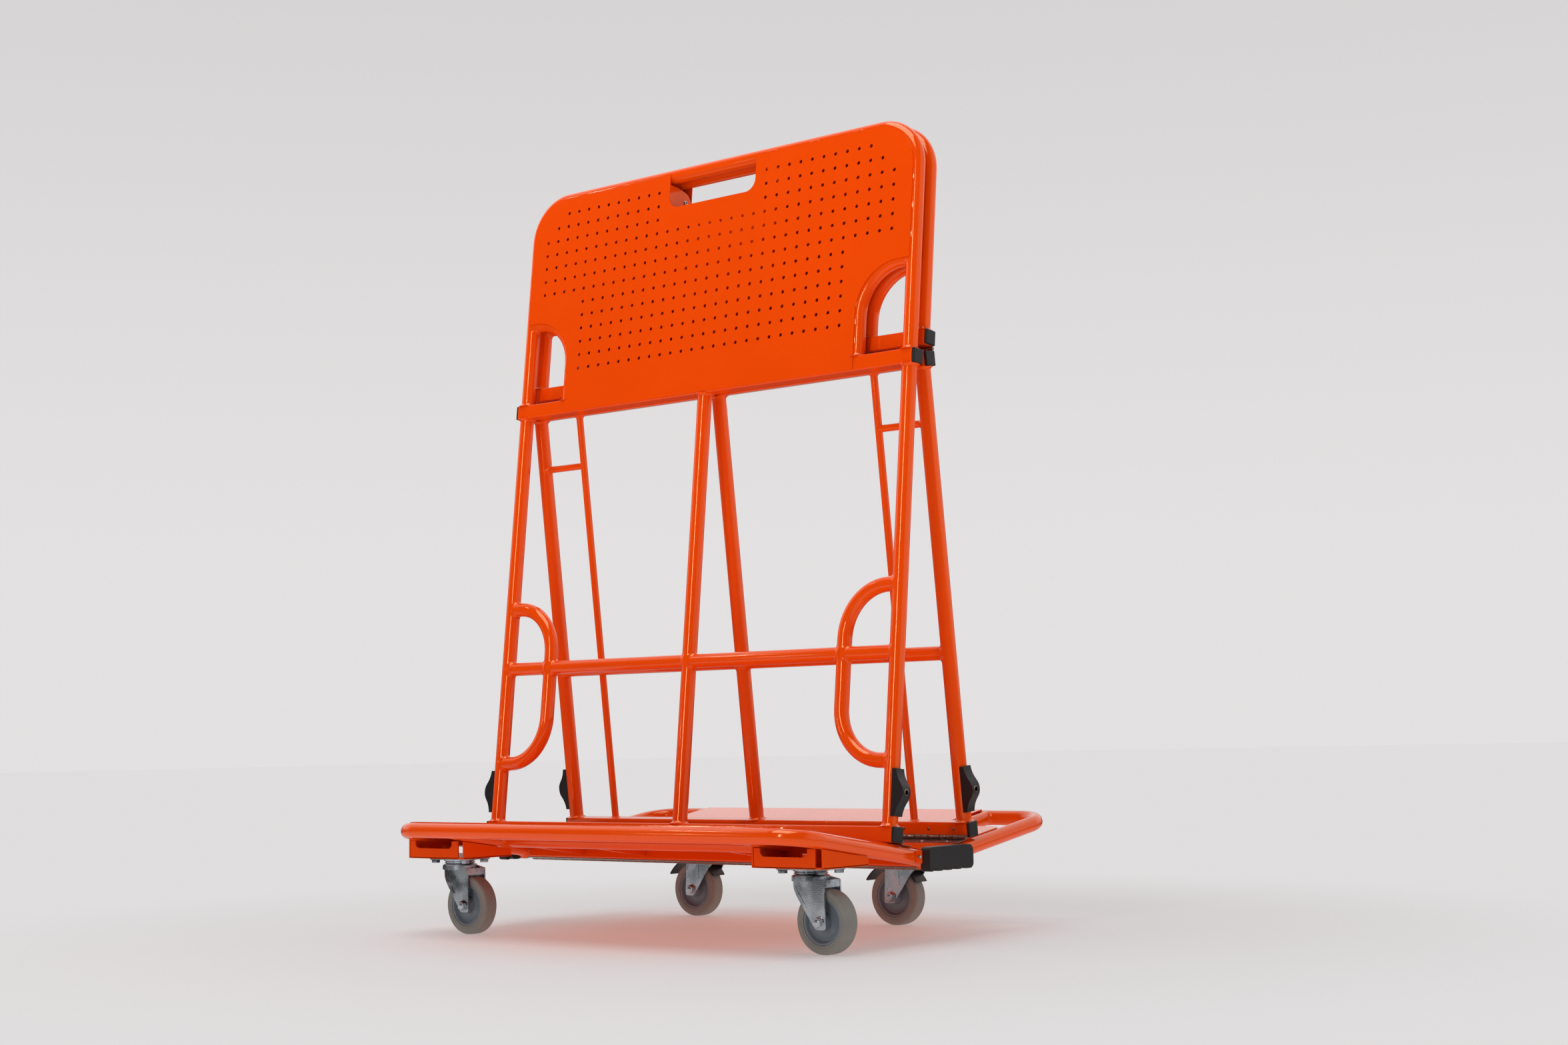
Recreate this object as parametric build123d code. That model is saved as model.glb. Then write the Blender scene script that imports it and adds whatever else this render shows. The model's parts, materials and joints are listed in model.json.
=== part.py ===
from build123d import *
import os

os.makedirs("parts", exist_ok=True)

# A folding panel cart: a leaning A-frame with two peg panels at the top stands on a deck
# in two leaves. Piano hinges join the leaves to each other and to the two legs of the A,
# so the deck folds up into the frame. Four swivel casters carry it.
#
# Frame: X along the cart, Y from the near side to the far side, Z up, in millimetres.
# The origin is on the floor under the hinge between the two leaves.
# Each half is drawn with its own Y pointing outwards, and the near half is the mirror of it.

# Stock
TUBE_RADIUS = 12.7
NOTCHED_RADIUS = 12.3
BAR_SIDE = 25.4
BAR_HALF = BAR_SIDE / 2
BAR_LENGTH = 914.4
BAR_CORNER = 2.5
CAP_DEPTH = 5.0

# A-frame, in heights up the leaning plane from the middle of the bottom beam
LEAN = 6.36
BEAM_Y = 102.7
BEAM_Z = 175.0
LEG_X = 444.5
RAIL_H = 289.7
MID_BAR_H = 773.2
TOP_TUBE_H = 1177.1
HOOP_BEND = 75.0
ARCH_X = 336.5
ARCH_H = 941.0
ARCH_BEND = 85.0
LOOP_X = 337.0
LOOP_LOW_H = 117.0
LOOP_HIGH_H = 400.0
LOOP_BEND = 85.0
LADDER_X = 343.5
LADDER_RADIUS = 6.35
RUNG_H = 668.6

# Second hoop, carried behind the near one
HOOP_SPACING = 32.0
UPPER_BAR_H = 812.0

# Peg panels
SHEET = 1.5
SLOT_HALF = 101.6
SLOT_LOW_H = 1113.5
SLOT_CORNER = 22.0
LUG_HEIGHT = 46.0
LUG_DROP = 14.0
LUG_THICKNESS = 3.0

# Bumpers on the outer side of each leg
BUMPER_H = 66.0
BUMPER_LENGTH = 75.0
BUMPER_WIDTH = 21.0
BUMPER_EDGE = 2.8
BUMPER_PEAK = 17.2
BUMPER_HOLE = 4.5

# Deck leaves, in distances out from the fold hinge
FOLD_Z = 116.6
DECK_SLOPE = 8.9
DECK_HALF = 452.0
DECK_REACH = 345.0
DECK_BEND = 55.0
FOLD_GAP = 4.6
CROSS_TUBE_REACH = 199.5
NOTCH_X = 318.0
NOTCH_REACH = 245.0
NOTCH_TUBE_X = 330.0
NOTCH_CORNER = 12.0
PLATE = 2.0
LOAD_REACH = 130.0
RIB_THICKNESS = 4.0
RIB_DEPTH = 20.0
RIB_PLACES = (-300.0, -150.0, 150.0, 300.0)

# Piano hinges
KNUCKLES = 5
KNUCKLE_GAP = 0.4
LEAF = 1.2
PIN_RADIUS = 1.5
PIN_BORE = 1.56
PIN_HEAD = 2.5
LEG_HINGE_Y = 87.2
LEG_HINGE_Z = 162.2
LEG_KNUCKLE = 3.5
FOLD_KNUCKLE = 3.2
MID_HINGE_Y = 29.5
MID_HINGE_Z = 961.0
MID_KNUCKLE = 3.0
SADDLE_RADIUS = 2.9
SADDLE_BORE = 2.0

# End grips
GRIP_X = 471.0
GRIP_THICKNESS = 18.0
GRIP_HALF = 61.0
GRIP_LOW = 115.5
GRIP_HIGH = 154.0
GRIP_ROUND = 10.0
GROOVE_PITCH = 24.5
GROOVE_SIDE = 8.0
GROOVE_LIP = 3.5

# Casters
NEAR_CASTER_X = 395.0
FAR_CASTER_X = 233.0
CASTER_Y = 240.0
CASTER_HEIGHT = 131.5
TRAIL = 30.0
WHEEL_RADIUS = 50.0
TYRE_WIDTH = 28.0
TYRE_SEAT = 36.0
CORE_WIDTH = 26.0
HUB_RADIUS = 13.0
HUB_WIDTH = 37.0
AXLE_RADIUS = 5.0
RUNNING_FIT = 0.06
FORK_SHEET = 2.5
FORK_INNER = 19.0
FORK_TOP = 120.2
CROWN_RADIUS = 30.0
CASTER_PLATE = 3.0
RACE_RADIUS = 28.0
BOLT_X = 37.5
BOLT_Y = 22.5
BOLT_RADIUS = 7.5
BOLT_HEAD = 6.0
BRAKE_PIVOT = (22.0, 106.5)
BRAKE_HALF_WIDTH = 16.0
BRAKE_SHEET = 2.5

# Caster brackets
BRACKET_HALF = 68.5
BRACKET_SHEET = 3.0
BRACKET_NEAR = 178.0
BRACKET_FAR = 290.0
FLANGE_HALF = 51.0
SCOOP_HALF = 40.0
SCOOP_Z = 149.0

FRAME = Location((0, BEAM_Y, BEAM_Z), (LEAN, 0, 0))
DECK = Location((0, 0, FOLD_Z), (DECK_SLOPE, 0, 0))
SIDES = (-1, 1)


def far_side(place, shape):
    """Set a shape drawn in a half's own frame on the far side."""
    return place * shape


def near_side(place, shape):
    """Set a shape drawn in a half's own frame on the near side."""
    return mirror(place * shape, about=Plane.XZ)


def group(*shapes):
    """Collect separate solids as one piece of the assembly."""
    return Compound([solid for shape in shapes for solid in shape.solids()])


def slab(x, y, z):
    """A block between two limits in each direction."""
    middle = Pos((x[0] + x[1]) / 2, (y[0] + y[1]) / 2, (z[0] + z[1]) / 2)
    return middle * Box(x[1] - x[0], y[1] - y[0], z[1] - z[0])


def rod(start, end, radius=TUBE_RADIUS):
    """A straight tube between two points."""
    axis = Vector(*end) - Vector(*start)
    return extrude(Plane(origin=start, z_dir=axis) * Circle(radius), axis.length)


def bent_tube(points, bend, radius=TUBE_RADIUS):
    """A tube through corner points, with a bend of a quarter turn at each."""
    corners = [Vector(*point) for point in points]
    start = corners[0]
    pieces = []
    for before, corner, after in zip(corners, corners[1:], corners[2:]):
        incoming = (corner - before).normalized()
        outgoing = (after - corner).normalized()
        enter = corner - incoming * bend
        centre = enter + outgoing * bend
        section = Plane(origin=enter, z_dir=incoming) * Circle(radius)
        pieces.append(rod(start, enter, radius))
        pieces.append(revolve(section, Axis(centre, incoming.cross(outgoing)), 90))
        start = corner + outgoing * bend
    pieces.append(rod(start, corners[-1], radius))
    return Part() + pieces


def square_bar(y, h):
    """A square tube along X with rolled edges."""
    bar = Pos(0, y, h) * Box(BAR_LENGTH, BAR_SIDE, BAR_SIDE)
    return fillet(bar.edges().filter_by(Axis.X), BAR_CORNER)


def bar_caps(y, h):
    """The two plastic plugs in the ends of a bar."""
    cap = Box(CAP_DEPTH, BAR_SIDE, BAR_SIDE)
    cap = fillet(cap.edges().filter_by(Axis.X), BAR_CORNER)
    right = Pos(BAR_LENGTH / 2 + CAP_DEPTH / 2, y, h) * cap
    return group(right, mirror(right, about=Plane.YZ))


def along_x(section, x0, x1):
    """Extrude a sketch in Y and Z along X."""
    plane = Plane(origin=(x0, 0, 0), x_dir=(0, 1, 0), z_dir=(1, 0, 0))
    return extrude(plane * section, x1 - x0)


# Frame tubes


def hoop(y, foot_h):
    """The upper hoop and the two arches that brace its legs, standing on a bar."""
    right = [(LEG_X, y, TOP_TUBE_H), (LEG_X, y, foot_h)]
    main = bent_tube([(-LEG_X, y, foot_h), (-LEG_X, y, TOP_TUBE_H), *right], HOOP_BEND)
    path = [(ARCH_X, y, foot_h), (ARCH_X, y, ARCH_H), (LEG_X, y, ARCH_H)]
    arch = bent_tube(path, ARCH_BEND, NOTCHED_RADIUS) - main
    return group(main, arch, mirror(arch, about=Plane.YZ))


def legs():
    """Two legs and the middle post between the beam and the bar at mid height."""
    low = BAR_HALF
    high = MID_BAR_H - BAR_HALF
    return [rod((x, 0, low), (x, 0, high)) for x in (-LEG_X, 0, LEG_X)]


def side_loops():
    """The two D-shaped loops that brace the near legs."""
    path = [
        (LEG_X, 0, LOOP_LOW_H),
        (LOOP_X, 0, LOOP_LOW_H),
        (LOOP_X, 0, LOOP_HIGH_H),
        (LEG_X, 0, LOOP_HIGH_H),
    ]
    loop = bent_tube(path, LOOP_BEND, NOTCHED_RADIUS) - legs()[2]
    return group(loop, mirror(loop, about=Plane.YZ))


def rail(stops):
    """The low rail from leg to leg, cut where it meets each upright."""
    whole = rod((-LEG_X, 0, RAIL_H), (LEG_X, 0, RAIL_H), NOTCHED_RADIUS - 0.4)
    for stop in stops:
        whole = whole - stop
    inner = [piece for piece in whole.solids() if abs(piece.center().X) < LEG_X]
    return group(*inner)


def ladder(stops):
    """Thin uprights and short rungs beside the far legs."""
    pieces = []
    for side in SIDES:
        x = side * LADDER_X
        upright = rod((x, 0, BAR_HALF), (x, 0, MID_BAR_H - BAR_HALF), LADDER_RADIUS)
        rung = rod((x, 0, RUNG_H), (side * LEG_X, 0, RUNG_H), LADDER_RADIUS - 0.2) - upright
        for stop in stops:
            upright = upright - stop
            rung = rung - stop
        pieces += [upright, rung]
    return group(*pieces)


def peg_panel(y, foot_h):
    """The sheet on the outer side of a hoop, with the hand slot under the top tube."""
    right = [(ARCH_X, foot_h), (ARCH_X, ARCH_H), (LEG_X, ARCH_H), (LEG_X, TOP_TUBE_H)]
    left = [(-x, h) for x, h in reversed(right)]
    bends = [0.01, ARCH_BEND, 0.01, HOOP_BEND, HOOP_BEND, 0.01, ARCH_BEND, 0.01]
    outline = make_face(FilletPolyline(*right, *left, radius=bends, close=True))
    slot_height = TOP_TUBE_H - SLOT_LOW_H + SLOT_CORNER * 2
    slot = RectangleRounded(2 * SLOT_HALF, slot_height, SLOT_CORNER)
    slot = Pos(0, SLOT_LOW_H + slot_height / 2) * slot
    plane = Plane(origin=(0, y, 0), x_dir=(1, 0, 0), z_dir=(0, -1, 0))
    return extrude(plane * (outline - slot), -SHEET)


def hoop_lugs():
    """The plates that join the two panels at the ends of the hand slot."""
    inner = -HOOP_SPACING - TUBE_RADIUS
    heights = (SLOT_LOW_H - LUG_DROP, SLOT_LOW_H + LUG_HEIGHT)
    lug = slab((SLOT_HALF, SLOT_HALF + LUG_THICKNESS), (inner, TUBE_RADIUS), heights)
    return group(lug, mirror(lug, about=Plane.YZ))


def bumpers():
    """The moulded pads on the outer sides of the two legs."""
    face = LEG_X + TUBE_RADIUS
    half = BUMPER_LENGTH / 2
    swell = BUMPER_PEAK - BUMPER_EDGE
    rise = [(0.0, half), (0.13, 28), (0.47, 18), (0.88, 9)]
    upper = [(face + BUMPER_EDGE + share * swell, h) for share, h in rise]
    lower = [(x, -h) for x, h in reversed(upper)]
    bell = Spline(*upper, (face + BUMPER_PEAK, 0), *lower)
    back = Polyline(lower[-1], (LEG_X + 4, -half), (LEG_X + 4, half), upper[0])
    outline = make_face(bell + back)
    plane = Plane(origin=(0, BUMPER_WIDTH / 2, BUMPER_H), x_dir=(1, 0, 0), z_dir=(0, -1, 0))
    pad = extrude(plane * outline, BUMPER_WIDTH)
    pad = pad - rod((LEG_X, 0, 0), (LEG_X, 0, 2 * BUMPER_H))
    pad = pad - rod((LEG_X, 0, BUMPER_H), (face + 2 * BUMPER_PEAK, 0, BUMPER_H), BUMPER_HOLE)
    return group(pad, mirror(pad, about=Plane.YZ))


# Piano hinges


def knuckle_span(index):
    """The limits along X of one knuckle."""
    pitch = BAR_LENGTH / KNUCKLES
    start = -BAR_LENGTH / 2 + index * pitch
    return start + KNUCKLE_GAP, start + pitch - KNUCKLE_GAP


def hinge_leaf(first, pin, strip, tab, knuckle, bore=PIN_BORE):
    """A leaf: a full strip, and a tab and a rolled knuckle at every second place."""
    half = BAR_LENGTH / 2
    leaf = slab((-half, half), *strip)
    for index in range(first, KNUCKLES, 2):
        span = knuckle_span(index)
        leaf = leaf + slab(span, *tab) + along_x(Pos(*pin) * knuckle, *span)
    return leaf - along_x(Pos(*pin) * Circle(bore), -half, half)


def hinge_pin(y, z):
    """A hinge pin with a staked head at both ends."""
    half = BAR_LENGTH / 2
    pin = along_x(Pos(y, z) * Circle(PIN_RADIUS), -half - 1, half + 1)
    head = along_x(Pos(y, z) * Circle(PIN_HEAD), half - KNUCKLE_GAP, half + 1)
    return pin + head + mirror(head, about=Plane.YZ)


def in_frame(place, y, z):
    """A point's Y and Z in a half's own frame."""
    point = (place.inverse() * Pos(0, y, z)).position
    return point.Y, point.Z


def leg_hinge_frame_leaf():
    """The leaf on the inner face of a leg's beam."""
    pin = in_frame(FRAME, LEG_HINGE_Y, LEG_HINGE_Z)
    skin = (-BAR_HALF - LEAF, -BAR_HALF)
    return hinge_leaf(1, pin, (skin, (-8.0, 10.0)), (skin, (pin[1], -8.0)), Circle(LEG_KNUCKLE))


def leg_hinge_deck_leaf():
    """The leaf on the top of a deck plate."""
    pin = in_frame(DECK, LEG_HINGE_Y, LEG_HINGE_Z)
    top = BAR_SIDE + PLATE
    skin = (top, top + LEAF)
    return hinge_leaf(0, pin, ((66.0, 90.4), skin), ((90.4, pin[0] + 0.8), skin), Circle(LEG_KNUCKLE))


def fold_leaf(first):
    """The leaf under the inner bar of a deck half."""
    skin = (-LEAF, 0)
    return hinge_leaf(first, (0, 0), ((4.2, 27.0), skin), ((0, 4.2), skin), Circle(FOLD_KNUCKLE))


def mid_hinge_upper_leaf():
    """The leaf under the second hoop's bar, with the closed knuckles."""
    y, z = in_frame(FRAME, -MID_HINGE_Y, MID_HINGE_Z)
    face = -HOOP_SPACING - BAR_HALF
    skin = (face - LEAF, face)
    low = UPPER_BAR_H - BAR_HALF
    return hinge_leaf(0, (y, z), (skin, (low + 0.7, low + 23)), (skin, (z, low + 0.7)), Circle(MID_KNUCKLE))


def mid_hinge_lower_leaf():
    """The leaf on the far legs' bar, with half-open knuckles that bear on the pin."""
    y, z = in_frame(FRAME, MID_HINGE_Y, MID_HINGE_Z)
    top = MID_BAR_H + BAR_HALF
    skin = (BAR_HALF, BAR_HALF + LEAF)
    outer_half = Pos(SADDLE_RADIUS, 0) * Rectangle(2 * SADDLE_RADIUS, 3 * SADDLE_RADIUS)
    shell = Circle(SADDLE_RADIUS) & outer_half
    step = ((BAR_HALF, y + 0.8), (top - 0.6, z - SADDLE_BORE))
    return hinge_leaf(1, (y, z), (skin, (top - 23, top - 0.6)), step, shell, SADDLE_BORE)


# Deck leaves


def deck_loop():
    """The bent tube round a leaf."""
    inner = FOLD_GAP + BAR_SIDE
    z = TUBE_RADIUS
    right = [(DECK_HALF, DECK_REACH, z), (DECK_HALF, inner, z)]
    return bent_tube([(-DECK_HALF, inner, z), (-DECK_HALF, DECK_REACH, z), *right], DECK_BEND)


def deck_bracing():
    """The inner bar, the cross tube, the tubes beside the notches and the flat ribs."""
    inner = FOLD_GAP + BAR_SIDE
    z = BAR_SIDE - NOTCHED_RADIUS
    bar = square_bar(FOLD_GAP + BAR_HALF, BAR_HALF)
    reach = NOTCH_X + 50
    outer_rail = rod((-reach, DECK_REACH, TUBE_RADIUS), (reach, DECK_REACH, TUBE_RADIUS))
    cross = rod((-DECK_HALF, CROSS_TUBE_REACH, z), (DECK_HALF, CROSS_TUBE_REACH, z), NOTCHED_RADIUS)
    for side in SIDES:
        x = side * DECK_HALF
        cross = cross - rod((x, inner, TUBE_RADIUS), (x, DECK_REACH - DECK_BEND, TUBE_RADIUS))
    pieces = [bar, cross.solids().sort_by(SortBy.VOLUME)[-1]]
    for side in SIDES:
        x = side * NOTCH_TUBE_X
        stub = rod((x, CROSS_TUBE_REACH, z), (x, DECK_REACH, z), NOTCHED_RADIUS - 0.3)
        stub = stub - outer_rail - cross
        pieces.append(stub.solids().sort_by(SortBy.VOLUME)[-1])
    for x in RIB_PLACES:
        limits = (x - RIB_THICKNESS / 2, x + RIB_THICKNESS / 2)
        rib = slab(limits, (inner, CROSS_TUBE_REACH), (BAR_SIDE - RIB_DEPTH, BAR_SIDE)) - cross
        pieces.append(rib.solids().sort_by(SortBy.VOLUME)[-1])
    return pieces


def deck_plate(notched):
    """A strip under the leg's hinge, and the load sheet, whole or cut away at its two outer corners."""
    edge = DECK_HALF - 2
    right = [(edge, FOLD_GAP), (edge, DECK_REACH)]
    bends = [0.01, DECK_BEND, DECK_BEND, 0.01]
    if notched:
        right = [(edge, FOLD_GAP), (edge, NOTCH_REACH), (NOTCH_X, NOTCH_REACH), (NOTCH_X, DECK_REACH)]
        bends = [0.01, NOTCH_CORNER, NOTCH_CORNER, 0.01, 0.01, NOTCH_CORNER, NOTCH_CORNER, 0.01]
    left = [(-x, y) for x, y in reversed(right)]
    outline = make_face(FilletPolyline(*right, *left, radius=bends, close=True))
    whole = extrude(Pos(0, 0, BAR_SIDE) * outline, PLATE)
    inner = slab((-DECK_HALF, DECK_HALF), (0, LOAD_REACH), (0, 2 * BAR_SIDE))
    return group(whole & inner, whole - inner)


def grip_tabs():
    """The plates on the near leaf's ends that hold the grips."""
    z = (GRIP_HIGH - 23, GRIP_HIGH - 10)
    tab = slab((DECK_HALF + 8, GRIP_X + GRIP_THICKNESS - 4), (-GRIP_HALF - 3, -GRIP_HALF), z)
    tab = tab - near_side(DECK, deck_loop())
    tab = tab.solids().sort_by(Axis.X)[-1]
    return [tab, mirror(tab, about=Plane.YZ)]


def end_grips():
    """Moulded hand grips with five finger lobes underneath, parted by narrow grooves."""
    height = GRIP_HIGH - GRIP_LOW
    section = RectangleRounded(2 * GRIP_HALF, height, GRIP_ROUND)
    for place in (-1.5, -0.5, 0.5, 1.5):
        groove = Rot(0, 0, 45) * Rectangle(GROOVE_SIDE, GROOVE_SIDE)
        section = section - Pos(place * GROOVE_PITCH, -height / 2) * groove
    lips = section.vertices().filter_by_position(Axis.Y, -height / 2 - 1, -height / 2 + 1)
    section = fillet(lips.sort_by(Axis.X)[1:-1], GROOVE_LIP)
    grip = along_x(Pos(0, (GRIP_LOW + GRIP_HIGH) / 2) * section, GRIP_X, GRIP_X + GRIP_THICKNESS)
    grip = chamfer(grip.faces().sort_by(Axis.X)[-1].edges(), 2.5)
    return group(grip, mirror(grip, about=Plane.YZ))


# Casters, each drawn with its swivel axis on Z, its floor at zero and its trail along X


def deck_underside(reach):
    """The height of the plane under the deck tubes at a distance from the middle."""
    low = (DECK * Pos(0, 0, 0)).position
    high = (DECK * Pos(0, DECK_REACH, 0)).position
    return low.Z + (high.Z - low.Z) * (reach - low.Y) / (high.Y - low.Y)


def caster_bracket():
    """A folded sheet under the deck: a level bottom, two sides and a scooped front flange."""
    low = CASTER_HEIGHT
    near_top = deck_underside(BRACKET_NEAR)
    far_top = deck_underside(BRACKET_FAR)
    high = [(BRACKET_FAR, far_top), (BRACKET_NEAR, near_top)]
    wedge = Polyline((BRACKET_NEAR, low), (BRACKET_FAR, low), *high, close=True)
    side = along_x(make_face(wedge), BRACKET_HALF - BRACKET_SHEET, BRACKET_HALF)
    bottom = slab((-BRACKET_HALF, BRACKET_HALF), (BRACKET_NEAR, BRACKET_FAR), (low, low + BRACKET_SHEET))
    top = deck_underside(BRACKET_FAR - BRACKET_SHEET)
    front = slab((-FLANGE_HALF, FLANGE_HALF), (BRACKET_FAR - BRACKET_SHEET, BRACKET_FAR), (low, top))
    scoop_height = 2 * (top - SCOOP_Z)
    scoop = Pos(0, SCOOP_Z + scoop_height / 2) * RectangleRounded(2 * SCOOP_HALF, scoop_height, 9)
    plane = Plane(origin=(0, BRACKET_FAR + 1, 0), x_dir=(1, 0, 0), z_dir=(0, -1, 0))
    front = front - extrude(plane * scoop, BRACKET_SHEET + 2)
    return bottom + side + mirror(side, about=Plane.YZ) + front


def caster_plate():
    """The fixed plate with the upper race and the riveted kingpin."""
    low = CASTER_HEIGHT - CASTER_PLATE
    plate = extrude(Pos(0, 0, low) * RectangleRounded(95, 64, 8), CASTER_PLATE)
    race = Polyline(
        (0, low),
        (RACE_RADIUS, low),
        (RACE_RADIUS, low - 2),
        (RACE_RADIUS - 3.5, low - 4),
        (RACE_RADIUS - 1, low - 5.5),
        (RACE_RADIUS - 4, FORK_TOP + 0.4),
        (AXLE_RADIUS, FORK_TOP + 0.4),
        (AXLE_RADIUS, FORK_TOP - FORK_SHEET - 0.4),
        (8, FORK_TOP - FORK_SHEET - 0.4),
        (8, FORK_TOP - FORK_SHEET - 4),
        (0, FORK_TOP - FORK_SHEET - 4),
        close=True,
    )
    return plate + revolve(make_face(Plane.XZ * race), Axis.Z)


def caster_bolts():
    """The heads of the four hexagon bolts under the plate."""
    low = CASTER_HEIGHT - CASTER_PLATE
    head = extrude(Pos(0, 0, low - BOLT_HEAD) * RegularPolygon(BOLT_RADIUS, 6), BOLT_HEAD)
    return [Pos(x, y, 0) * head for x in (-BOLT_X, BOLT_X) for y in (-BOLT_Y, BOLT_Y)]


def fork(braked):
    """A stamped fork: a round crown, two slanted legs, a curved nose and a rear strap."""
    outer = FORK_INNER + FORK_SHEET
    trail_edge = TRAIL + 14
    nose = -8.0
    plan = Pos((nose + trail_edge) / 2, 0) * Rectangle(trail_edge - nose, 2 * outer)
    plan = plan + Pos(nose, 0) * Circle(outer)
    hollow = Pos((nose + trail_edge) / 2 + 5, 0) * Rectangle(trail_edge - nose + 10, 2 * FORK_INNER)
    hollow = hollow + Pos(nose, 0) * Circle(FORK_INNER)
    channel = extrude(plan - hollow, FORK_TOP - 1)
    side = [
        (trail_edge, 38.5),
        (TRAIL - 6, 38.5),
        (-24.0, 105.0),
        (nose - outer - 1, 108.5),
        (nose - outer - 1, FORK_TOP - 1),
        (14.0, FORK_TOP - 1),
        (TRAIL + 11, 113.5),
    ]
    outline = make_face(FilletPolyline(*side, radius=[4, 9, 4, 0.01, 0.01, 6, 2], close=True))
    plane = Plane(origin=(0, outer + 1, 0), x_dir=(1, 0, 0), z_dir=(0, -1, 0))
    body = channel & extrude(plane * outline, 2 * outer + 2)
    crown = Pos(0, 0, FORK_TOP - 4.5) * Cylinder(CROWN_RADIUS, 9)
    crown = chamfer(crown.edges().group_by(Axis.Z)[-1], 2.0)
    crown = crown - Pos(0, 0, FORK_TOP - FORK_SHEET - 5) * Cylinder(CROWN_RADIUS - FORK_SHEET, 10)
    strap_low = 109.5 if braked else 102.5
    strap = slab((TRAIL + 8.5, TRAIL + 11), (-FORK_INNER, FORK_INNER), (strap_low, 113.5))
    body = body + crown + strap
    recess = make_face(FilletPolyline((12, 64), (12, 106), (-17, 106), radius=3.0, close=True))
    body = body - extrude(Plane(origin=(0, outer, 0), x_dir=(1, 0, 0), z_dir=(0, -1, 0)) * recess, 1.0)
    body = body - extrude(Plane(origin=(0, -outer, 0), x_dir=(1, 0, 0), z_dir=(0, -1, 0)) * recess, -1.0)
    body = body - Cylinder(AXLE_RADIUS + RUNNING_FIT, 2 * FORK_TOP + 2)
    body = body - rod((TRAIL, -outer - 1, WHEEL_RADIUS), (TRAIL, outer + 1, WHEEL_RADIUS), AXLE_RADIUS)
    if braked:
        x, z = BRAKE_PIVOT
        body = body - rod((x, -outer - 1, z), (x, outer + 1, z), 2.5 + RUNNING_FIT)
    return body


def axle():
    """The wheel's bolt with its hexagon head and nut."""
    outer = FORK_INNER + FORK_SHEET
    shaft = rod((TRAIL, -outer - 1, WHEEL_RADIUS), (TRAIL, outer + 1, WHEEL_RADIUS), AXLE_RADIUS)
    for side in SIDES:
        plane = Plane(origin=(TRAIL, side * outer, WHEEL_RADIUS), x_dir=(1, 0, 0), z_dir=(0, side, 0))
        shaft = shaft + extrude(plane * RegularPolygon(8.4, 6), 6.0)
    return shaft


def spun(profile):
    """Turn half of a wheel section, given as radius and offset, about the axle."""
    plane = Plane(origin=(TRAIL, 0, WHEEL_RADIUS), x_dir=(0, 0, 1), z_dir=(1, 0, 0))
    axis = Axis((TRAIL, 0, WHEEL_RADIUS), (0, 1, 0))
    return revolve(plane * make_face(profile), axis)


def tyre():
    """A soft tread with a flat crown and eased shoulders."""
    flat = TYRE_WIDTH / 2
    half = [(TYRE_SEAT, flat), (WHEEL_RADIUS - 3.5, flat), (WHEEL_RADIUS, flat - 3.5)]
    back = [(radius, -offset) for radius, offset in reversed(half)]
    return spun(Polyline(*half, *back, close=True))


def wheel_core():
    """A moulded centre: a rim, a dished web and a hub with a bore for the axle."""
    bore = AXLE_RADIUS + RUNNING_FIT
    rim = CORE_WIDTH / 2
    hub = HUB_WIDTH / 2
    dish = [(HUB_RADIUS, 5), (TYRE_SEAT - 4, 5), (TYRE_SEAT - 4, rim), (TYRE_SEAT, rim)]
    half = [(bore, hub), (HUB_RADIUS, hub), *dish]
    back = [(radius, -offset) for radius, offset in reversed(half)]
    return spun(Polyline(*half, *back, close=True))


def brake():
    """A rocker pedal arched over the wheel, on a pin across the fork."""
    x, z = BRAKE_PIVOT
    arc = ThreePointArc((-20, 76), (TRAIL + 2, 106), (TRAIL + 57, 77))
    strip = make_face(trace(arc, BRAKE_SHEET).faces()[0].outer_wire().edges())
    plane = Plane(origin=(0, BRAKE_HALF_WIDTH, 0), x_dir=(1, 0, 0), z_dir=(0, -1, 0))
    pedal = extrude(plane * strip, 2 * BRAKE_HALF_WIDTH)
    boss = rod((x, -FORK_INNER + 0.5, z), (x, FORK_INNER - 0.5, z), 4.3)
    outer = FORK_INNER + FORK_SHEET
    pin = rod((x, -outer - 1, z), (x, outer + 1, z), 2.5)
    return pedal + boss + pin


# The pieces of the assembly

nodes = {}
nodes["near_upper_tubes"] = near_side(FRAME, hoop(0, MID_BAR_H + BAR_HALF))
nodes["far_upper_tubes"] = near_side(FRAME, hoop(-HOOP_SPACING, UPPER_BAR_H + BAR_HALF))
nodes["near_panel"] = near_side(FRAME, peg_panel(TUBE_RADIUS, MID_BAR_H - BAR_HALF + 2))
far_panel = mirror(peg_panel(TUBE_RADIUS, UPPER_BAR_H - BAR_HALF + 25), about=Plane.XZ)
nodes["far_panel"] = near_side(FRAME, Pos(0, -HOOP_SPACING, 0) * far_panel)
nodes["near_cross_bars"] = near_side(FRAME, group(square_bar(0, 0), square_bar(0, MID_BAR_H)))
nodes["far_upper_bar"] = near_side(FRAME, square_bar(-HOOP_SPACING, UPPER_BAR_H))
near_caps = [bar_caps(0, 0), bar_caps(0, MID_BAR_H), bar_caps(-HOOP_SPACING, UPPER_BAR_H)]
nodes["near_bar_caps"] = near_side(FRAME, group(*near_caps))
near_rails = rail([*legs(), *side_loops().solids()])
nodes["near_lower_tubes"] = near_side(FRAME, group(*legs(), near_rails))
nodes["near_loops"] = near_side(FRAME, side_loops())
nodes["near_bumpers"] = near_side(FRAME, bumpers())
nodes["hoop_lugs"] = near_side(FRAME, hoop_lugs())
nodes["near_hinge_frame_leaf"] = near_side(FRAME, leg_hinge_frame_leaf())
nodes["mid_hinge_upper_leaf"] = near_side(FRAME, mid_hinge_upper_leaf())
nodes["mid_hinge_pin"] = hinge_pin(MID_HINGE_Y, MID_HINGE_Z)

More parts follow.
